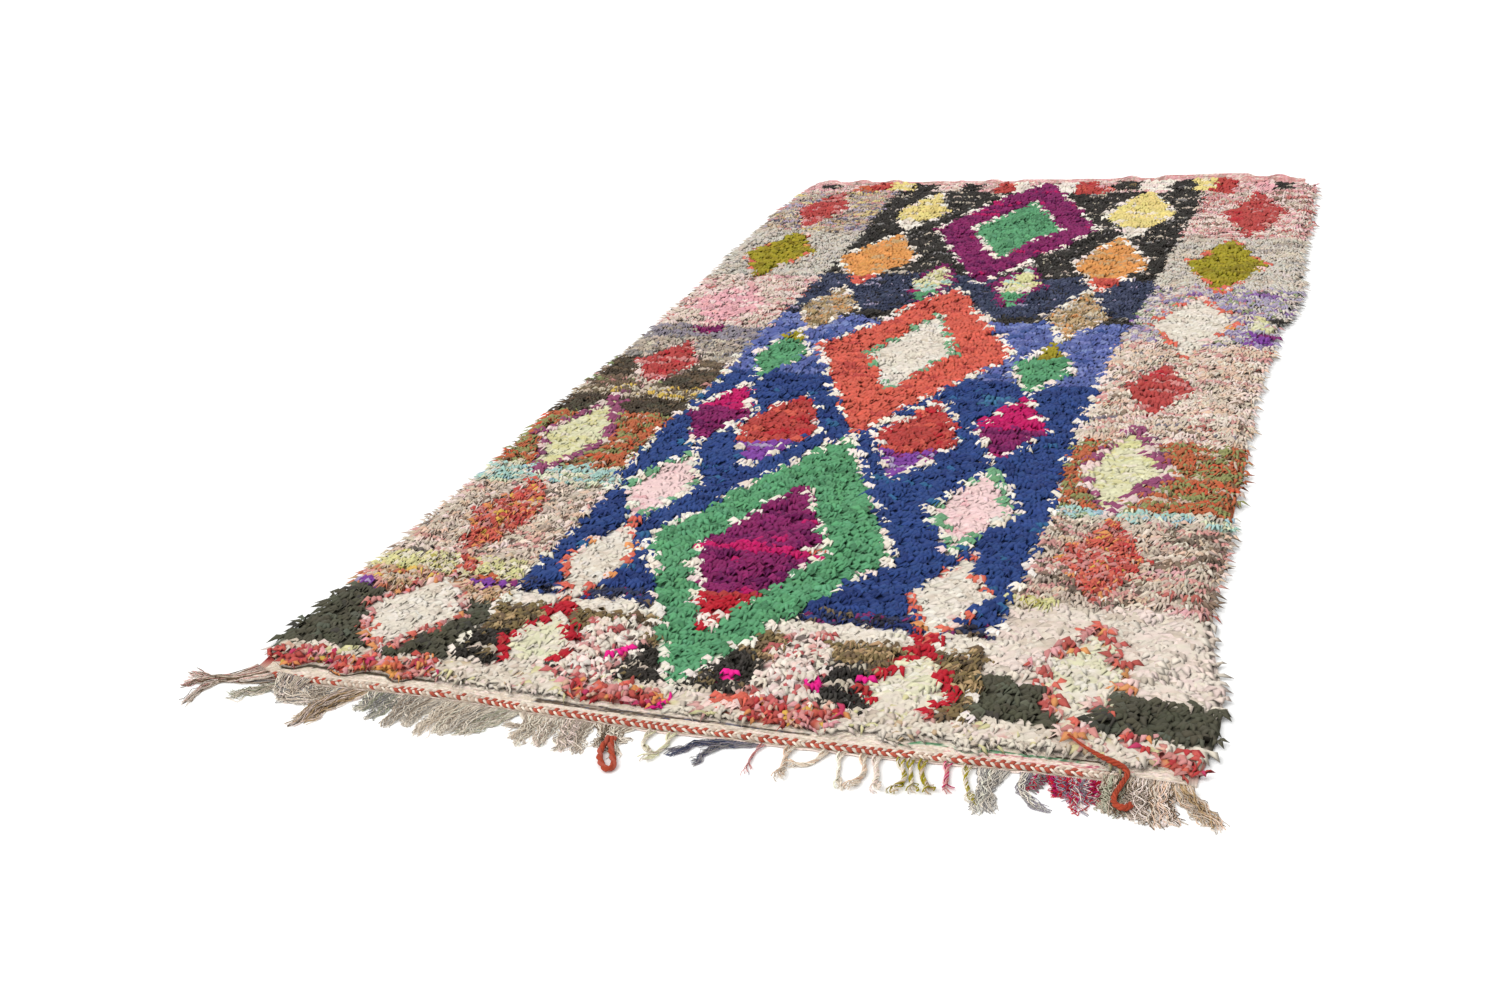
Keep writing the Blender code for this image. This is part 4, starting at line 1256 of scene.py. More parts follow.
def pile_area():
    """Outline of the pile on its node: a left and right limit per row, near and far limit per column."""
    height = surface_over("rug")
    low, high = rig.box("rug")
    rows = np.arange(low.y, high.y, 0.02)
    columns = np.arange(low.x, high.x, 0.004)
    over = np.array([[height(x, y) or 0.0 for x in columns] for y in rows])
    thick = over > PILE_EDGE_HEIGHT
    middle = thick.sum(axis=1) > len(columns) / 2
    left = np.array([columns[row.argmax()] for row in thick[middle]])
    right = np.array([columns[len(row) - 1 - row[::-1].argmax()] for row in thick[middle]])
    crossed = thick.sum(axis=0) > len(rows) / 2
    near = np.array([rows[col.argmax()] for col in thick[:, crossed].T]) - NEAR_OUT
    far = np.array([rows[len(col) - 1 - col[::-1].argmax()] for col in thick[:, crossed].T]) + FAR_OUT
    along = rows[middle]
    places, fill_left, fill_right = zip(*SIDE_FILL)
    return {
        "rows": along, "left": even(left) - np.interp(along, places, fill_left),
        "right": even(right) + np.interp(along, places, fill_right),
        "columns": columns[crossed], "near": even(near), "far": even(far),
    }


def even(values):
    """The values, with each one averaged with its neighbours."""
    return np.convolve(np.pad(values, 2, mode="edge"), np.ones(5) / 5, mode="valid")


PILE = pile_area()


def knot_grid(pitch, uneven):
    """Places of knots in rows over the pile, with the row and run that each belongs to."""
    low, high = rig.box("rug")
    rows = int((high.y - low.y) / pitch)
    across = int((high.x - low.x) / pitch)
    j, i = np.meshgrid(np.arange(rows), np.arange(across), indexing="ij")
    x = low.x + pitch * (i + 0.5 * (j % 2)) + rng.uniform(-1, 1, i.shape) * pitch * uneven
    y = low.y + pitch * j + rng.uniform(-1, 1, i.shape) * pitch * uneven
    x, y, j, i = x.ravel(), y.ravel(), j.ravel(), i.ravel()
    inside = x > np.interp(y, PILE["rows"], PILE["left"])
    inside &= x < np.interp(y, PILE["rows"], PILE["right"])
    inside &= y > np.interp(x, PILE["columns"], PILE["near"])
    inside &= y < np.interp(x, PILE["columns"], PILE["far"])
    runs = np.floor((i + 5 * np.sin(j * 1.7)) / 5)
    return x[inside], y[inside], j[inside], runs[inside]


def lean_of(x, y, spread):
    """Way that the tufts lean: towards the fringed end, and outwards at the sides and the far end."""
    hx = -0.5 + 0.45 * drift(x, y, 0.25, 0.3) + 0.25 * drift(x, y, 0.07, 1.9)
    hy = -1 + 0.2 * drift(y, x, 0.13, 2.0)
    to_left = x - np.interp(y, PILE["rows"], PILE["left"])
    to_right = np.interp(y, PILE["rows"], PILE["right"]) - x
    to_far = np.interp(x, PILE["columns"], PILE["far"]) - y
    hx = hx - 0.4 * np.clip(1 - to_left / 0.018, 0, 1) + 0.9 * np.clip(1 - to_right / 0.016, 0, 1)
    hy = hy + 1.1 * np.clip(1 - to_far / 0.014, 0, 1)
    return np.arctan2(-hx, hy) + rng.normal(0, spread, len(x))


def side_reach(x, y, headings, overhang):
    """How long a tuft may be before it leans out past the nearer side by more than the overhang."""
    to_left = x - np.interp(y, PILE["rows"], PILE["left"])
    to_right = np.interp(y, PILE["rows"], PILE["right"]) - x
    outward = np.sin(headings) * np.where(to_left < to_right, 1, -1)
    return (np.minimum(to_left, to_right) + overhang) / np.maximum(outward, 0.05)


def make_pile(settings, dyes):
    """Plants rag tufts and yarn tufts over the pile, and joins them in pieces along its length."""
    rag_tufts = [model_tuft("rag_tuft", *RAG_TUFT) for _ in range(TUFT_VARIANTS)]
    yarn_tufts = [model_tuft("yarn_tuft", *YARN_TUFT) for _ in range(TUFT_VARIANTS)]
    height = surface_over("rug")
    parts = []
    for kind, tufts, pitch, first in (("rag", rag_tufts, settings.rag_pitch, 0),
                                      ("yarn", yarn_tufts, settings.yarn_pitch, TUFT_VARIANTS)):
        x, y, rows, runs = knot_grid(pitch, settings.knot_uneven)
        headings = lean_of(x, y, settings.lean_spread)
        seen_x = x - LEAN_REACH * np.sin(headings)
        seen_y = y + LEAN_REACH * np.cos(headings)
        names = charted(seen_x - CHART_LEFT, seen_y - CHART_NEAR, settings.raggedness)
        kept = np.array([MIXES[name][0] == kind for name in names])
        names, rows, runs = names[kept], rows[kept], runs[kept]
        tints = np.stack([dyed(names, rows, runs, dyes) for _ in range(BLADES)], axis=1)
        loose = ODD_BLADES * ((kind == "yarn") | np.isin(names.astype(str), MOTLEY))
        odd = rng.random((len(names), BLADES, 1)) < loose[:, None, None]
        same = tints[:, :1] * (1 + rng.normal(0, 0.05, (len(names), BLADES, 1)))
        tints = np.where(odd, tints, same)
        top = np.array([height(a, b) or PILE_EDGE_HEIGHT for a, b in zip(x[kept], y[kept])])
        rise = np.clip((top - ROOT_HEIGHT) / TUFT_HEIGHT, 0.6, 1.3) * rng.uniform(0.85, 1.12, len(names))
        wide = rng.uniform(0.85, 1.2, len(names))
        fleece = np.isin(names.astype(str), FLEECE)
        wide = wide * np.where(fleece, FLEECE_WIDTH, 1)
        rise = rise * np.where(fleece, FLEECE_HEIGHT, 1)
        crinkled = np.isin(names.astype(str), CRINKLED)
        turned = headings[kept] + crinkled * rng.uniform(-CRINKLE_TURN, CRINKLE_TURN, len(names))
        rise = rise * np.where(crinkled, CRINKLE_HEIGHT, 1)
        room = y[kept] - np.interp(x[kept], PILE["columns"], PILE["near"]) + OVERHANG
        long = rng.uniform(0.8, 1.25, len(names)) * np.clip(room / TUFT_REACH, SHORTEST_NEAR, 1)
        long = long * np.where(crinkled, CRINKLE_LENGTH, 1)
        overhang = SIDE_OVERHANG * np.where(fleece, FLEECE_OVERHANG, 1)
        beyond = np.maximum(side_reach(x[kept], y[kept], turned, overhang), 1e-3)
        long = np.minimum(long, np.maximum(beyond / TUFT_REACH, SHORTEST_SHARE))
        parts.append((
            first + rng.integers(0, len(tufts), len(names)),
            np.stack((x[kept], y[kept], np.full(len(names), ROOT_HEIGHT)), axis=1),
            turned, np.stack((wide, long, rise), axis=1), tints, np.where(fleece, FLEECE_SOFTNESS, 1.0),
        ))
    picks, places, headings, sizes, tints, fleecy = (np.concatenate(column) for column in zip(*parts))
    order = np.argsort(places[:, 1])
    pieces = []
    for k, chosen in enumerate(np.array_split(order, PILE_PIECES)):
        pieces.append(plant(
            f"rag_pile_{k + 1}", rag_tufts + yarn_tufts, picks[chosen], places[chosen],
            headings[chosen], sizes[chosen], tints[chosen], fleecy[chosen],
        ))
    return pieces


def cloth_grid(name, points, tints, thickness):
    """A woven strip or sheet as a grid of points (rows, columns, 3), thickened downwards."""
    rows, columns = points.shape[:2]
    bpy.ops.object.select_all(action="DESELECT")
    bpy.ops.mesh.primitive_grid_add(x_subdivisions=columns - 1, y_subdivisions=rows - 1, size=1)
    obj = bpy.context.object
    obj.name = name
    obj.data.name = name
    obj.data.vertices.foreach_set("co", points.astype(np.float32).ravel())
    obj.data.update()
    set_tints(obj.data, tints)
    bpy.ops.object.modifier_add(type="SOLIDIFY")
    obj.modifiers[-1].thickness = thickness
    obj.modifiers[-1].offset = -1
    bpy.ops.object.modifier_apply(modifier=obj.modifiers[-1].name)
    return obj


def make_bed(dyes):
    """The dense lower part of the pile: a low lumpy mat of the same rags, close under their tips."""
    columns, rows = BED_CELLS
    bpy.ops.object.select_all(action="DESELECT")
    bpy.ops.mesh.primitive_grid_add(x_subdivisions=columns, y_subdivisions=rows, size=1)
    obj = bpy.context.object
    obj.name = "pile_bed"
    obj.data.name = "pile_bed"
    height = surface_over("rug")
    j, i = np.meshgrid(np.arange(rows + 1), np.arange(columns + 1), indexing="ij")
    y = PILE["near"].mean() + (PILE["far"].mean() - PILE["near"].mean()) * j / rows
    left = np.interp(y, PILE["rows"], PILE["left"]) + OVERHANG
    right = np.interp(y, PILE["rows"], PILE["right"]) - OVERHANG
    x = left + (right - left) * i / columns
    first = np.interp(x, PILE["columns"], PILE["near"]) + OVERHANG
    last = np.interp(x, PILE["columns"], PILE["far"])
    y = first + (last - first) * j / rows
    rim = (i == 0) | (i == columns) | (j == 0) | (j == rows)
    x, y, rim = x.ravel(), y.ravel(), rim.ravel()
    names = charted(x - CHART_LEFT, y - CHART_NEAR, GROUND_STRAY)
    fleece = np.isin(names.astype(str), FLEECE)
    top = np.array([height(a, b) or PILE_EDGE_HEIGHT for a, b in zip(x, y)])
    share = np.where(fleece, FLEECE_BED_SHARE, BED_SHARE) * (1 + BED_UNEVEN * rng.uniform(-1, 1, len(x)))
    z = np.where(rim, BED_RIM * ROOT_HEIGHT, ROOT_HEIGHT + (top - ROOT_HEIGHT) * share)
    obj.data.vertices.foreach_set("co", np.stack((x, y, z), axis=1).astype(np.float32).ravel())
    obj.data.update()
    # Painted shade: the bed takes the knots' dyes, darkened where it lies under the tufts
    set_tints(obj.data, dyed(names, j.ravel(), i.ravel() // 5, dyes) * BED_PAINTED_SHADE)
    set_fleecy(obj.data, np.where(fleece, FLEECE_SOFTNESS, 1.0))
    bpy.ops.object.mode_set(mode="EDIT")
    bpy.ops.mesh.select_mode(type="EDGE")
    bpy.ops.mesh.select_all(action="DESELECT")
    bpy.ops.mesh.select_non_manifold()
    bpy.ops.mesh.edge_face_add()
    bpy.ops.mesh.select_all(action="SELECT")
    bpy.ops.mesh.normals_make_consistent(inside=False)
    bpy.ops.object.mode_set(mode="OBJECT")
    obj.data.shade_smooth()
    return obj


def make_ground(settings, dyes):
    """The woven ground under the knots, one thin sheet, coloured as the knots that it holds, with painted shade under
    them.
    """
    columns, rows = GROUND_CELLS
    across = np.linspace(0, 1, columns + 1)
    along = np.linspace(0, 1, rows + 1)
    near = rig.box("rug")[0].y
    far = PILE["far"].mean() + GROUND_END
    points = np.zeros((rows + 1, columns + 1, 3))
    for j, share in enumerate(along):
        y = near + (far - near) * share
        left = np.interp(y, PILE["rows"], PILE["left"]) + GROUND_INSET
        right = np.interp(y, PILE["rows"], PILE["right"]) - GROUND_INSET
        x = left + (right - left) * across
        first = cord_y(x) + CORD_CLEAR
        last = np.interp(x, PILE["columns"], PILE["far"]) + GROUND_END
        points[j, :, 0] = x
        points[j, :, 1] = first + (last - first) * share
        points[j, :, 2] = settings.ground_thickness
    x, y = points[:, :, 0].ravel(), points[:, :, 1].ravel()
    names = charted(x - CHART_LEFT, y - CHART_NEAR, GROUND_STRAY)
    woven = y < np.interp(x, PILE["columns"], PILE["near"]) - 0.002
    woven |= y > np.interp(x, PILE["columns"], PILE["far"]) + 0.004
    names[woven] = "natural weave"
    tints = dyed(names, np.zeros(len(names)), np.zeros(len(names)), dyes)
    # Painted shade: the ground under the knots is darker than the open weave at the ends
    tints = tints * np.where(woven, 1.0, GROUND_PAINTED_SHADE)[:, None]
    return cloth_grid("woven_ground", points, tints, settings.ground_thickness)


def far_curl(x, share):
    """How far the flat-woven far end curls up off the floor, most of all towards its right corner."""
    height = np.interp(x, [place for place, _ in FAR_CURL], [rise for _, rise in FAR_CURL])
    return height * (1 + CURL_UNEVEN * drift(x, x, 0.05, 2.0)) * share ** CURL_BEND


def make_band(name, settings, dyes, first, last, mix):
    """A flat-woven end: rounded weft ribs across the rug, from one line to another."""
    x = np.linspace(BAND_ENDS[0], BAND_ENDS[1], BAND_STATIONS)
    start = first(x)
    depth = last(x) - start
    ribs = max(4, int(round(depth.mean() / settings.rib_pitch)))
    points, names, rows = [], [], []
    for k in range(2 * ribs + 1):
        wobble = 0.25 * settings.rib_pitch * drift(x, x + k, 0.02, k)
        rise = (RIB_TOP if k % 2 else RIB_DIP) + STITCH_BEAD * np.sin(x / BEAD_PITCH + 3.1 * (k // 2))
        if k in (0, 2 * ribs):
            rise = np.full(len(x), 0.4 * MM)
        y = start + depth * k / (2 * ribs) + wobble
        if name == "far_band":
            rise = rise + far_curl(x, k / (2 * ribs))
        points.append(np.stack((x, y, settings.ground_thickness + rise), 1))
        picked = np.full(len(x), mix, dtype=object)
        from_start = (y - start) / depth
        u = x - CHART_LEFT
        for left, right, low, high, weft in WEFT_LINES:
            inside = (u > left) & (u < right) & (from_start >= low) & (from_start < high)
            picked[inside & (name == "near_band")] = weft
        names.append(picked)
        rows.append(np.full(len(x), k // 2))
    names, rows = np.concatenate(names), np.concatenate(rows)
    runs = np.floor(np.tile(x, 2 * ribs + 1) / 0.02 + 3 * np.sin(rows))
    tints = dyed(names, rows, runs, dyes)
    return cloth_grid(name, np.array(points), tints, BAND_THICKNESS)


def make_cord(settings, dyes):
    """The twined edge: two rows of a red and a cream ply, twisted opposite ways like a plait."""
    low, high = CORD_STATIONS[0] - 0.004, CORD_STATIONS[-1] + 0.004
    x = np.arange(low, high, settings.stitch / CORD_STEPS)
    turn = x / settings.stitch + 0.3 * drift(x, 2 * x, 0.05, 3.0)
    bare = np.clip((-0.25 - x) / 0.3, 0, 1) * 0.5 + np.clip((x - 0.50) / 0.05, 0, 1)
    paths, colours, radii = [], [], []
    out = settings.cord_ply * CORD_WIND
    for row, way in ((-1, 1), (1, -1)):
        y = cord_y(x) + row * settings.cord_ply * CORD_ROW + 0.6 * MM * drift(x, x, 0.03, 1.0 + row)
        for k, dye in enumerate(("stitch_red", "cream")):
            angle = 2 * math.pi * way * turn + math.pi * k
            paths.append(np.stack((x, y + out * np.cos(angle),
                                   settings.cord_ply * CORD_MIDDLE + out * np.sin(angle)), 1))
            stitch = np.floor(turn + 0.5 * k)
            uneven = 0.5 + 0.5 * np.sin(stitch * 12.9898 + 4 * np.sin(stitch * 3.1))
            tone = 0.82 + 0.3 * uneven + rng.normal(0, 0.05, len(x))
            swell = (1.1 - 0.3 * uneven) * (1 + 0.08 * np.sin(x / 0.0043))
            radii.append(settings.cord_ply * swell * (
                0.42 + 0.14 * np.sin(angle) if k == 0 else 0.36 + 0.04 * np.sin(angle)))
            base = np.array(dyes[dye])[None] * tone[:, None]
            worn = ((uneven < bare) | (uneven > 0.93))[:, None] * (0.85 if k == 0 else 0.0)
            colours.append(base * (1 - worn) + np.array(dyes["beige"])[None] * worn)
    return tubes("twined_cord", np.array(paths), np.array(radii),
                 np.clip(np.array(colours), 0.004, 0.95), sides=5)


def eased(first, last, leaving, arriving):
    """Points of smooth lines between rows of places, from the directions that they leave and arrive."""
    t = np.linspace(0, 1, HALF_POINTS)[None, :, None]
    return ((2 * t ** 3 - 3 * t ** 2 + 1) * first[:, None] + (t ** 3 - 2 * t ** 2 + t) * leaving[:, None]
            + (3 * t ** 2 - 2 * t ** 3) * last[:, None] + (t ** 3 - t ** 2) * arriving[:, None])


def lock_lines(roots, waists, tips):
    """Smooth lines from the roots, straight out at first, through the waists to the tips."""
    first, second = waists - roots, tips - waists
    first_run = np.linalg.norm(first, axis=1, keepdims=True)
    second_run = np.linalg.norm(second, axis=1, keepdims=True)
    middle = first / first_run + second / second_run
    middle = middle / np.maximum(np.linalg.norm(middle, axis=1, keepdims=True), 0.1)
    start = 0.5 * first + first_run * (0, -0.5)
    upper = eased(roots, waists, start, middle * first_run)
    lower = eased(waists, tips, middle * second_run, second)
    return np.concatenate((upper, lower[:, 1:]), axis=1)


def make_bundle(row):
    """Paths of the threads of one bundle: out from under the cord, through its waist to its tips."""
    bundle = dict(zip(FRINGE_COLUMNS, row))
    count = bundle["threads"]
    share = (np.arange(count) + rng.uniform(0, 1, count)) / count
    x = bundle["left_root"] + (bundle["right_root"] - bundle["left_root"]) * share
    behind = bundle["left_behind"] + (bundle["right_behind"] - bundle["left_behind"]) * share
    roots = np.column_stack((x, cord_y(x) - ROOT_LINE + behind))
    ends = np.array(bundle["tips"])
    pick = np.minimum((share * len(ends)).astype(int), len(ends) - 1)
    within = share * len(ends) - pick - 0.5
    tips = np.column_stack((ends[pick, 0], cord_y(ends[pick, 0]) - ends[pick, 1]))
    centre = np.array((bundle["waist_x"], float(cord_y(bundle["waist_x"])) - bundle["waist_out"]))
    ahead = tips - roots.mean(axis=0)
    ahead = ahead / np.linalg.norm(ahead, axis=1, keepdims=True)
    across = np.column_stack((-ahead[:, 1], ahead[:, 0]))
    gather = 0 if bundle["form"] == "twist" else 1
    waists = centre + across * (bundle["waist_width"] * gather * (share - 0.5))[:, None]
    waists = waists + rng.normal(0, 1.2 * MM * gather, (count, 2))
    tips = waists + (tips - waists) * rng.uniform(0.72, 1.06, (count, 1))
    stray = rng.normal(0, STRAY_WIDTH, count) * (rng.random(count) < STRAY_SHARE)
    loose = rng.normal(0, 1.6 * MM, count) + stray
    tips = tips + across * (TIP_SPREAD * within + loose * gather)[:, None]
    flat = lock_lines(roots, waists, tips)
    t = np.linspace(0, 1, flat.shape[1])
    whole, single, turns = THREAD_WAVES[bundle["form"]]
    turn = 2 * math.pi * turns * t
    sway = whole * MM * np.sin(turn + rng.uniform(0, 2 * math.pi)) * t
    phase = rng.uniform(0, 2 * math.pi, (count, 1))
    quick = rng.uniform(0.5, 1.8, (count, 1))
    height = single * MM * rng.uniform(0.4, 1.5, (count, 1))
    side = sway + height * np.sin(turn * quick + phase) * np.minimum(1, 3 * t)
    crown = 1 - (2 * share[:, None] - 1) ** 2
    layer = rng.uniform(0, 1, (count, 1)) * LOCK_HEIGHT * crown
    rise = 1.2 * MM + layer * np.sin(math.pi * np.clip(t * 1.1, 0, 1)) + 0.6 * MM * np.sin(turn * quick)
    if bundle["form"] == "twist":
        length = np.linalg.norm(tips.mean(axis=0) - roots.mean(axis=0))
        wind = 2 * math.pi * (t * length / STRAND_PITCH + share[:, None])
        radius = bundle["waist_width"] / 2 * (0.75 + 0.5 * t ** 4)
        side = sway + radius * np.cos(wind)
        rise = 1.0 * MM + radius * (1 + 0.8 * np.sin(wind))
    flat = flat + side[:, :, None] * across[:, None, :]
    over = np.where(behind[:, None] > 0.001, OVER_CORD, 1.6 * MM)
    rise = rise + over * np.clip(1 - 3.2 * t, 0, 1) ** 0.7
    return np.concatenate((flat, rise[:, :, None]), axis=2), bundle


def make_fringe(dyes):
    """Loose warp threads of all bundles of the fringe, in the dyes and the form of each."""
    paths, radii, tints = [], [], []
    for row in FRINGE_BUNDLES:
        lines, bundle = make_bundle(row)
        count, length = lines.shape[:2]
        thick = bundle["thickness_mm"] * MM / 2 * rng.uniform(0.75, 1.2, (count, 1))
        radii.append(thick * np.linspace(1.0, 0.6, length) * rng.uniform(0.85, 1.15, (count, length)))
        paths.append(lines)
        table = np.array([dyes[dye] for dye in bundle["dyes"]])
        pick = rng.integers(0, len(table), count)
        tints.append(table[pick] * rng.uniform(1.04, 1.16) * rng.uniform(0.82, 1.2, (count, 1)))
    paths, radii, tints = (np.concatenate(column) for column in (paths, radii, tints))
    paths[:, :, 2] = np.maximum(paths[:, :, 2], radii + 0.1 * MM)
    return tubes("fringe_threads", paths, radii, np.clip(tints, 0.004, 0.95), sides=3)


def plied(centre, plies, twist, out, radius):
    """Paths and radii of soft plies that wind round a centreline."""
    run = np.concatenate(([0], np.cumsum(np.linalg.norm(np.diff(centre, axis=0), axis=1))))
    side = np.cross(np.gradient(centre, axis=0), (0, 0, 1))
    side = side / np.linalg.norm(side, axis=1, keepdims=True)
    paths, radii = [], []
    for k in range(plies):
        angle = 2 * math.pi * (run / twist + k / plies)
        off = side * (out * np.cos(angle))[:, None]
        off[:, 2] += 0.75 * out * np.sin(angle)
        paths.append(centre + off)
        radii.append(radius * (1 + 0.15 * np.sin(run / 0.004 + 2 * k)))
    return np.array(paths), np.array(radii)


def make_ring(dyes):
    """The loop of thick rag yarn in the fringe: two plies with a slow twist."""
    places = np.array(RING_POINTS)
    points = np.column_stack((places[:, 0], cord_y(places[:, 0]) - places[:, 1],
                              np.full(len(places), RING_HEIGHT)))
    centre = smooth_line(points, LINE_STEP)
    paths, radii = plied(centre, RING_PLIES, RING_TWIST, RING_WIND, RING_PLY)
    tints = np.array([dyes["stitch_red"], dyes["yarn_red"]]) * ((0.85,), (0.95,))
    return tubes("fringe_loop", paths, radii, tints, sides=6)


def make_fringe_strip(dyes):
    """The knotted roots of the fringe: a low roll of thread under the cord's outer side."""
    x = np.linspace(STRIP_ENDS[0], STRIP_ENDS[1], STRIP_STATIONS)
    paths, tints = [], []
    for k, dye in enumerate(STRIP_DYES):
        y = cord_y(x) - CORD_CLEAR - (1.0 + 1.6 * k) * MM + 0.5 * MM * np.sin(x / 0.004 + 2 * k)
        z = (1.9 + 0.5 * np.sin(x / 0.005 + k)) * MM
        paths.append(np.stack((x, y, z), 1))
        base = np.array(dyes[dye])
        tints.append(base[None] * (1 + 0.18 * np.sin(x / 0.011 + 2 * k))[:, None])
    radii = np.full((len(STRIP_DYES), len(x)), 1.2 * MM)
    tints = np.clip(np.array(tints), 0.004, 0.95)
    return tubes("fringe_roots", np.array(paths), radii, tints, sides=5)


def smooth_line(points, step):
    """Evenly spaced points of a smooth curve through the given ones."""
    line = []
    for k in range(len(points) - 1):
        a = points[max(k - 1, 0)]
        b = points[k]
        c = points[k + 1]
        d = points[min(k + 2, len(points) - 1)]
        steps = max(1, round(float(np.linalg.norm(c - b)) / step))
        for n in range(steps):
            t = n / steps
            line.append(0.5 * (2 * b + (c - a) * t + (2 * a - 5 * b + 4 * c - d) * t * t
                               + (3 * b - a - 3 * c + d) * t ** 3))
    line.append(points[-1])
    return np.array(line)


def make_loose_yarn(dyes):
    """The loose end of red rag yarn: soft plies with a slow twist, thin and full by turns."""
    centre = smooth_line(np.array(YARN_POINTS) + (0, CHART_NEAR, 0), LINE_STEP)
    run = float(np.linalg.norm(np.diff(centre, axis=0), axis=1).sum())
    middle = centre + (0, 0, YARN_RADIUS)
    girth = np.interp(np.linspace(0, 1, len(middle)), *zip(*YARN_GIRTH))
    paths, radii = plied(middle, YARN_PLIES, YARN_TWIST, YARN_WIND * girth, YARN_PLY * girth)
    tints = np.array([np.array(dyes["yarn_red"]) * tone for tone in YARN_TONES])
    obj = tubes("red_yarn_end", paths, radii, tints, sides=6)
    return obj, middle, run


def dye_table():
    """Linear colour of each dye, as set in the scene."""
    dyes = bpy.context.scene.rug_dyes
    return {name: np.array(getattr(dyes, name)) for name in DYES}


class RUG_OT_ground(bpy.types.Operator):
    """Weave the ground of the rug as one thin sheet"""
    bl_idname = "rug.ground"
    bl_label = "Woven Ground"

    def execute(self, context):
        obj = make_ground(context.scene.rug_ends, dye_table())
        finish(obj, plain_weave_material(), "rag_pile", "rug")
        tied = [o for o in context.scene.objects
                if o.name.startswith(("rag_pile", "pile_bed", "near_band", "far_band"))]
        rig.sheet(obj, flat=GROUND_FLAT, held="laid", with_pieces=tied)
        return {"FINISHED"}


class RUG_OT_pile(bpy.types.Operator):
    """Tie the knots of rag strips and yarn over the ground"""
    bl_idname = "rug.pile"
    bl_label = "Rag Pile"

    def execute(self, context):
        material = cut_rag_material()
        pieces = make_pile(context.scene.rug_pile, dye_table())
        for obj in (*pieces, make_bed(dye_table())):
            finish(obj, material, "rag_pile", "rug")
        return {"FINISHED"}


class RUG_OT_bands(bpy.types.Operator):
    """Weave the ribbed flat bands at both ends"""
    bl_idname = "rug.bands"
    bl_label = "Flat-woven Ends"

    def execute(self, context):
        settings = context.scene.rug_ends
        material = spun_wool_material()

        def near_line(x):
            return np.interp(x, PILE["columns"], PILE["near"]) + NEAR_TUCK

        def far_line(x):
            return np.interp(x, PILE["columns"], PILE["far"]) - FAR_TUCK

        ends = (
            ("near_band", lambda x: cord_y(x) + CORD_CLEAR, near_line, "natural weave"),
            ("far_band", far_line, lambda x: far_line(x) + FAR_TUCK + FAR_BAND, "dusty weave"),
        )
        for name, first, last, mix in ends:
            obj = make_band(name, settings, dye_table(), first, last, mix)
            finish(obj, material, "rag_pile", "rug")
        return {"FINISHED"}


class RUG_OT_cord(bpy.types.Operator):
    """Twine the two-ply cord along the fringed end"""
    bl_idname = "rug.cord"
    bl_label = "Twined Cord"

    def execute(self, context):
        obj = make_cord(context.scene.rug_ends, dye_table())
        obj.data.shade_smooth()
        finish(obj, spun_wool_material(), "twined_wool", "end_cord")
        return {"FINISHED"}


class RUG_OT_fringe(bpy.types.Operator):
    """Lay out the warp threads of the fringe"""
    bl_idname = "rug.fringe"
    bl_label = "Fringe"

    def execute(self, context):
        material = spun_wool_material()
        for obj in (make_fringe(dye_table()), make_fringe_strip(dye_table()), make_ring(dye_table())):
            obj.data.shade_smooth()
            finish(obj, material, "warp_fringe", "fringe")
        return {"FINISHED"}


class RUG_OT_loose_yarn(bpy.types.Operator):
    """Lay the loose end of red rag yarn over the corner"""
    bl_idname = "rug.loose_yarn"
    bl_label = "Loose Yarn"

    def execute(self, context):
        obj, path, length = make_loose_yarn(dye_table())
        obj.data.shade_smooth()
        finish(obj, spun_wool_material(), "red_rag_yarn", "loose_yarn")
        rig.cord(obj, exit=path[0], length=length, diameter=2 * YARN_RADIUS, far_end="bare",
                stiffness="limp", lay="loose", path=path)
        return {"FINISHED"}


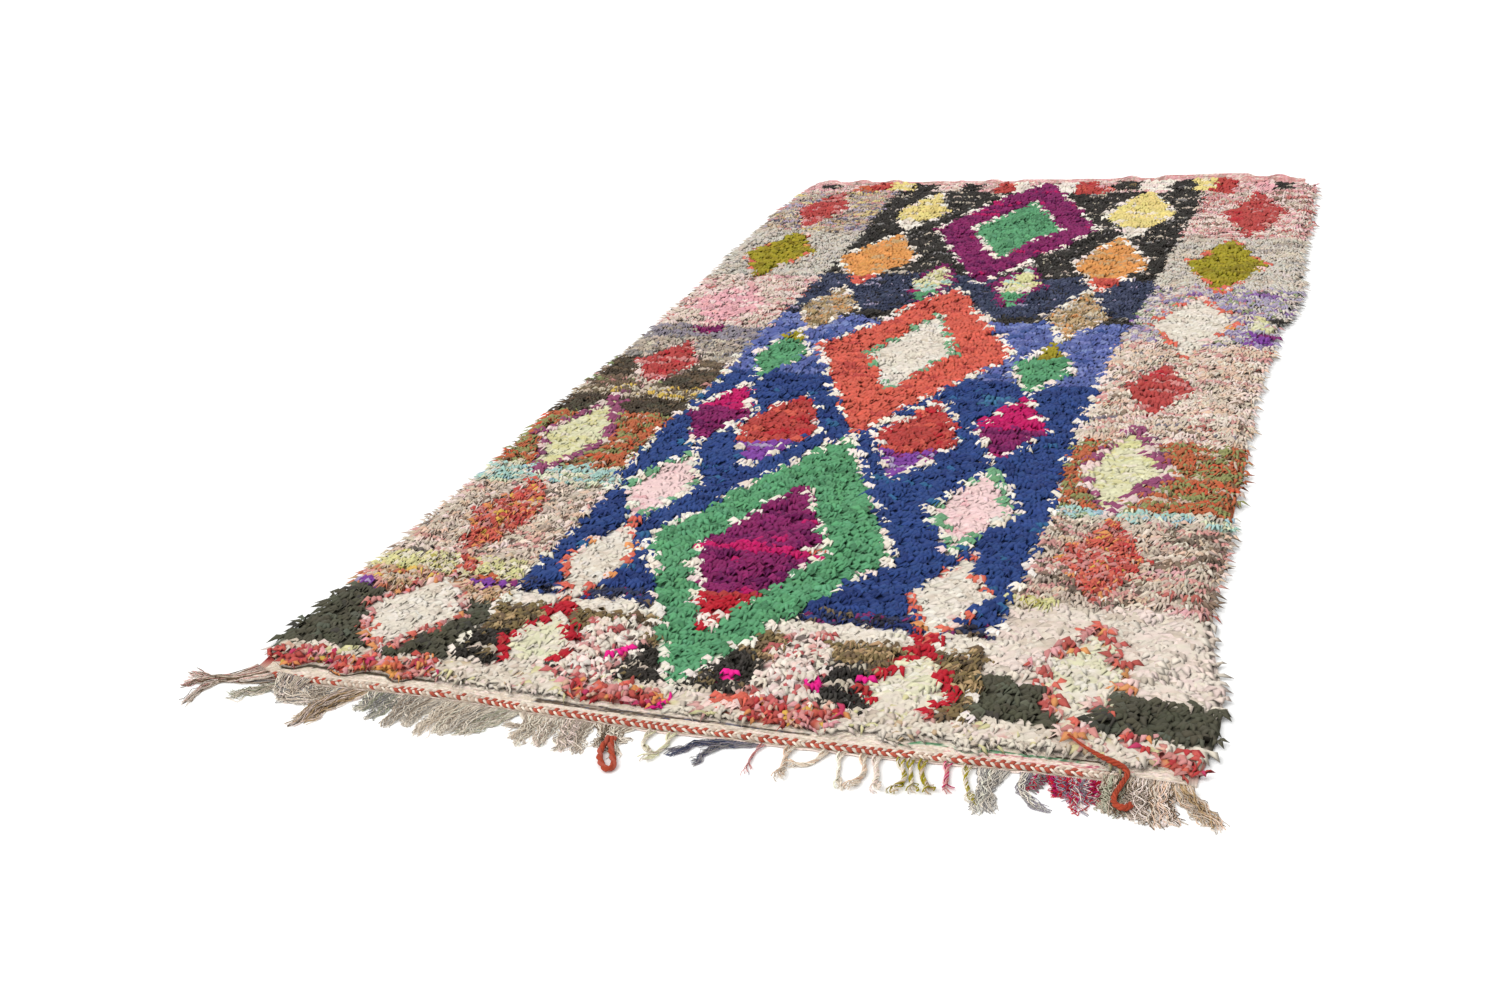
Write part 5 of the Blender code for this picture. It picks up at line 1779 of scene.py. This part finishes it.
class RUG_OT_stage(bpy.types.Operator):
    """Set up the pale floor, the soft light and the camera"""
    bl_idname = "rug.stage"
    bl_label = "Studio"

    def execute(self, context):
        stage = context.scene.rug_stage
        bpy.ops.object.select_all(action="DESELECT")
        bpy.ops.mesh.primitive_plane_add(size=FLOOR_SIZE, location=(0, 0, 0))
        floor = context.object
        floor.name = "studio_floor"
        floor.data.materials.append(floor_material(stage.floor_colour))
        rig.stage(floor)
        world = bpy.data.worlds.new("soft_surround")
        world.use_nodes = True
        back = world.node_tree.nodes["Background"]
        back.inputs["Color"].default_value = (1, 1, 1, 1)
        back.inputs["Strength"].default_value = stage.sky_strength
        context.scene.world = world
        context.scene.view_settings.view_transform = "Standard"
        bpy.ops.object.light_add(type="SUN", rotation=(LIGHT_TILT, 0, LIGHT_TURN))
        light = context.object
        light.name = "soft_key_light"
        light.data.energy = stage.key_strength
        light.data.angle = LIGHT_SPREAD
        self.add_camera(context)
        return {"FINISHED"}

    def add_camera(self, context):
        """Camera where the picture was taken from, with its rolled horizon."""
        camera = bpy.data.cameras.new("picture_camera")
        camera.sensor_width = SENSOR_WIDTH
        camera.lens = FOCAL_PIXELS * SENSOR_WIDTH / PICTURE_WIDTH
        camera.clip_end = 100
        obj = bpy.data.objects.new("picture_camera", camera)
        context.scene.collection.objects.link(obj)
        down, left = CAMERA_DOWN, CAMERA_LEFT
        ahead = Vector((-math.sin(left) * math.cos(down), math.cos(left) * math.cos(down),
                        -math.sin(down)))
        right = Vector((math.cos(left), math.sin(left), 0))
        up = right.cross(ahead)
        rolled_right = right * math.cos(CAMERA_ROLL) + up * math.sin(CAMERA_ROLL)
        rolled_up = up * math.cos(CAMERA_ROLL) - right * math.sin(CAMERA_ROLL)
        turn = Matrix((rolled_right, rolled_up, -ahead)).transposed()
        obj.matrix_world = Matrix.Translation(CAMERA_PLACE) @ turn.to_4x4()
        context.scene.camera = obj


class RUG_PT_panel(bpy.types.Panel):
    """Sizes, dyes and steps of the rug"""
    bl_label = "Boucherouite Rug"
    bl_idname = "RUG_PT_panel"
    bl_space_type = "VIEW_3D"
    bl_region_type = "UI"
    bl_category = "Rug"

    def draw(self, context):
        for name, kind in SETTINGS.items():
            box = self.layout.box()
            box.label(text=kind.__doc__)
            for key in kind.__annotations__:
                box.prop(getattr(context.scene, name), key)
        for step in STEPS:
            self.layout.operator(step.bl_idname)


SETTINGS = {"rug_dyes": RugDyes, "rug_pile": RugPile, "rug_ends": RugEnds, "rug_stage": RugStage}
STEPS = (
    RUG_OT_stage, RUG_OT_pile, RUG_OT_bands, RUG_OT_ground, RUG_OT_cord, RUG_OT_fringe,
    RUG_OT_loose_yarn,
)


def register():
    for kind in (*SETTINGS.values(), *STEPS, RUG_PT_panel):
        bpy.utils.register_class(kind)
    for name, kind in SETTINGS.items():
        setattr(bpy.types.Scene, name, bpy.props.PointerProperty(type=kind))


def unregister():
    for name in SETTINGS:
        delattr(bpy.types.Scene, name)
    for kind in reversed((*SETTINGS.values(), *STEPS, RUG_PT_panel)):
        bpy.utils.unregister_class(kind)


def main():
    register()
    for step in STEPS:
        group, action = step.bl_idname.split(".")
        getattr(getattr(bpy.ops, group), action)()
    boxes = {
        "cad": [list(corner) for corner in CAD_BOX],
        "visual": [list(corner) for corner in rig.bounds()],
    }
    with open("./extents.json", "w", encoding="utf-8") as out:
        json.dump(boxes, out, indent=1)


if __name__ == "__main__":
    main()
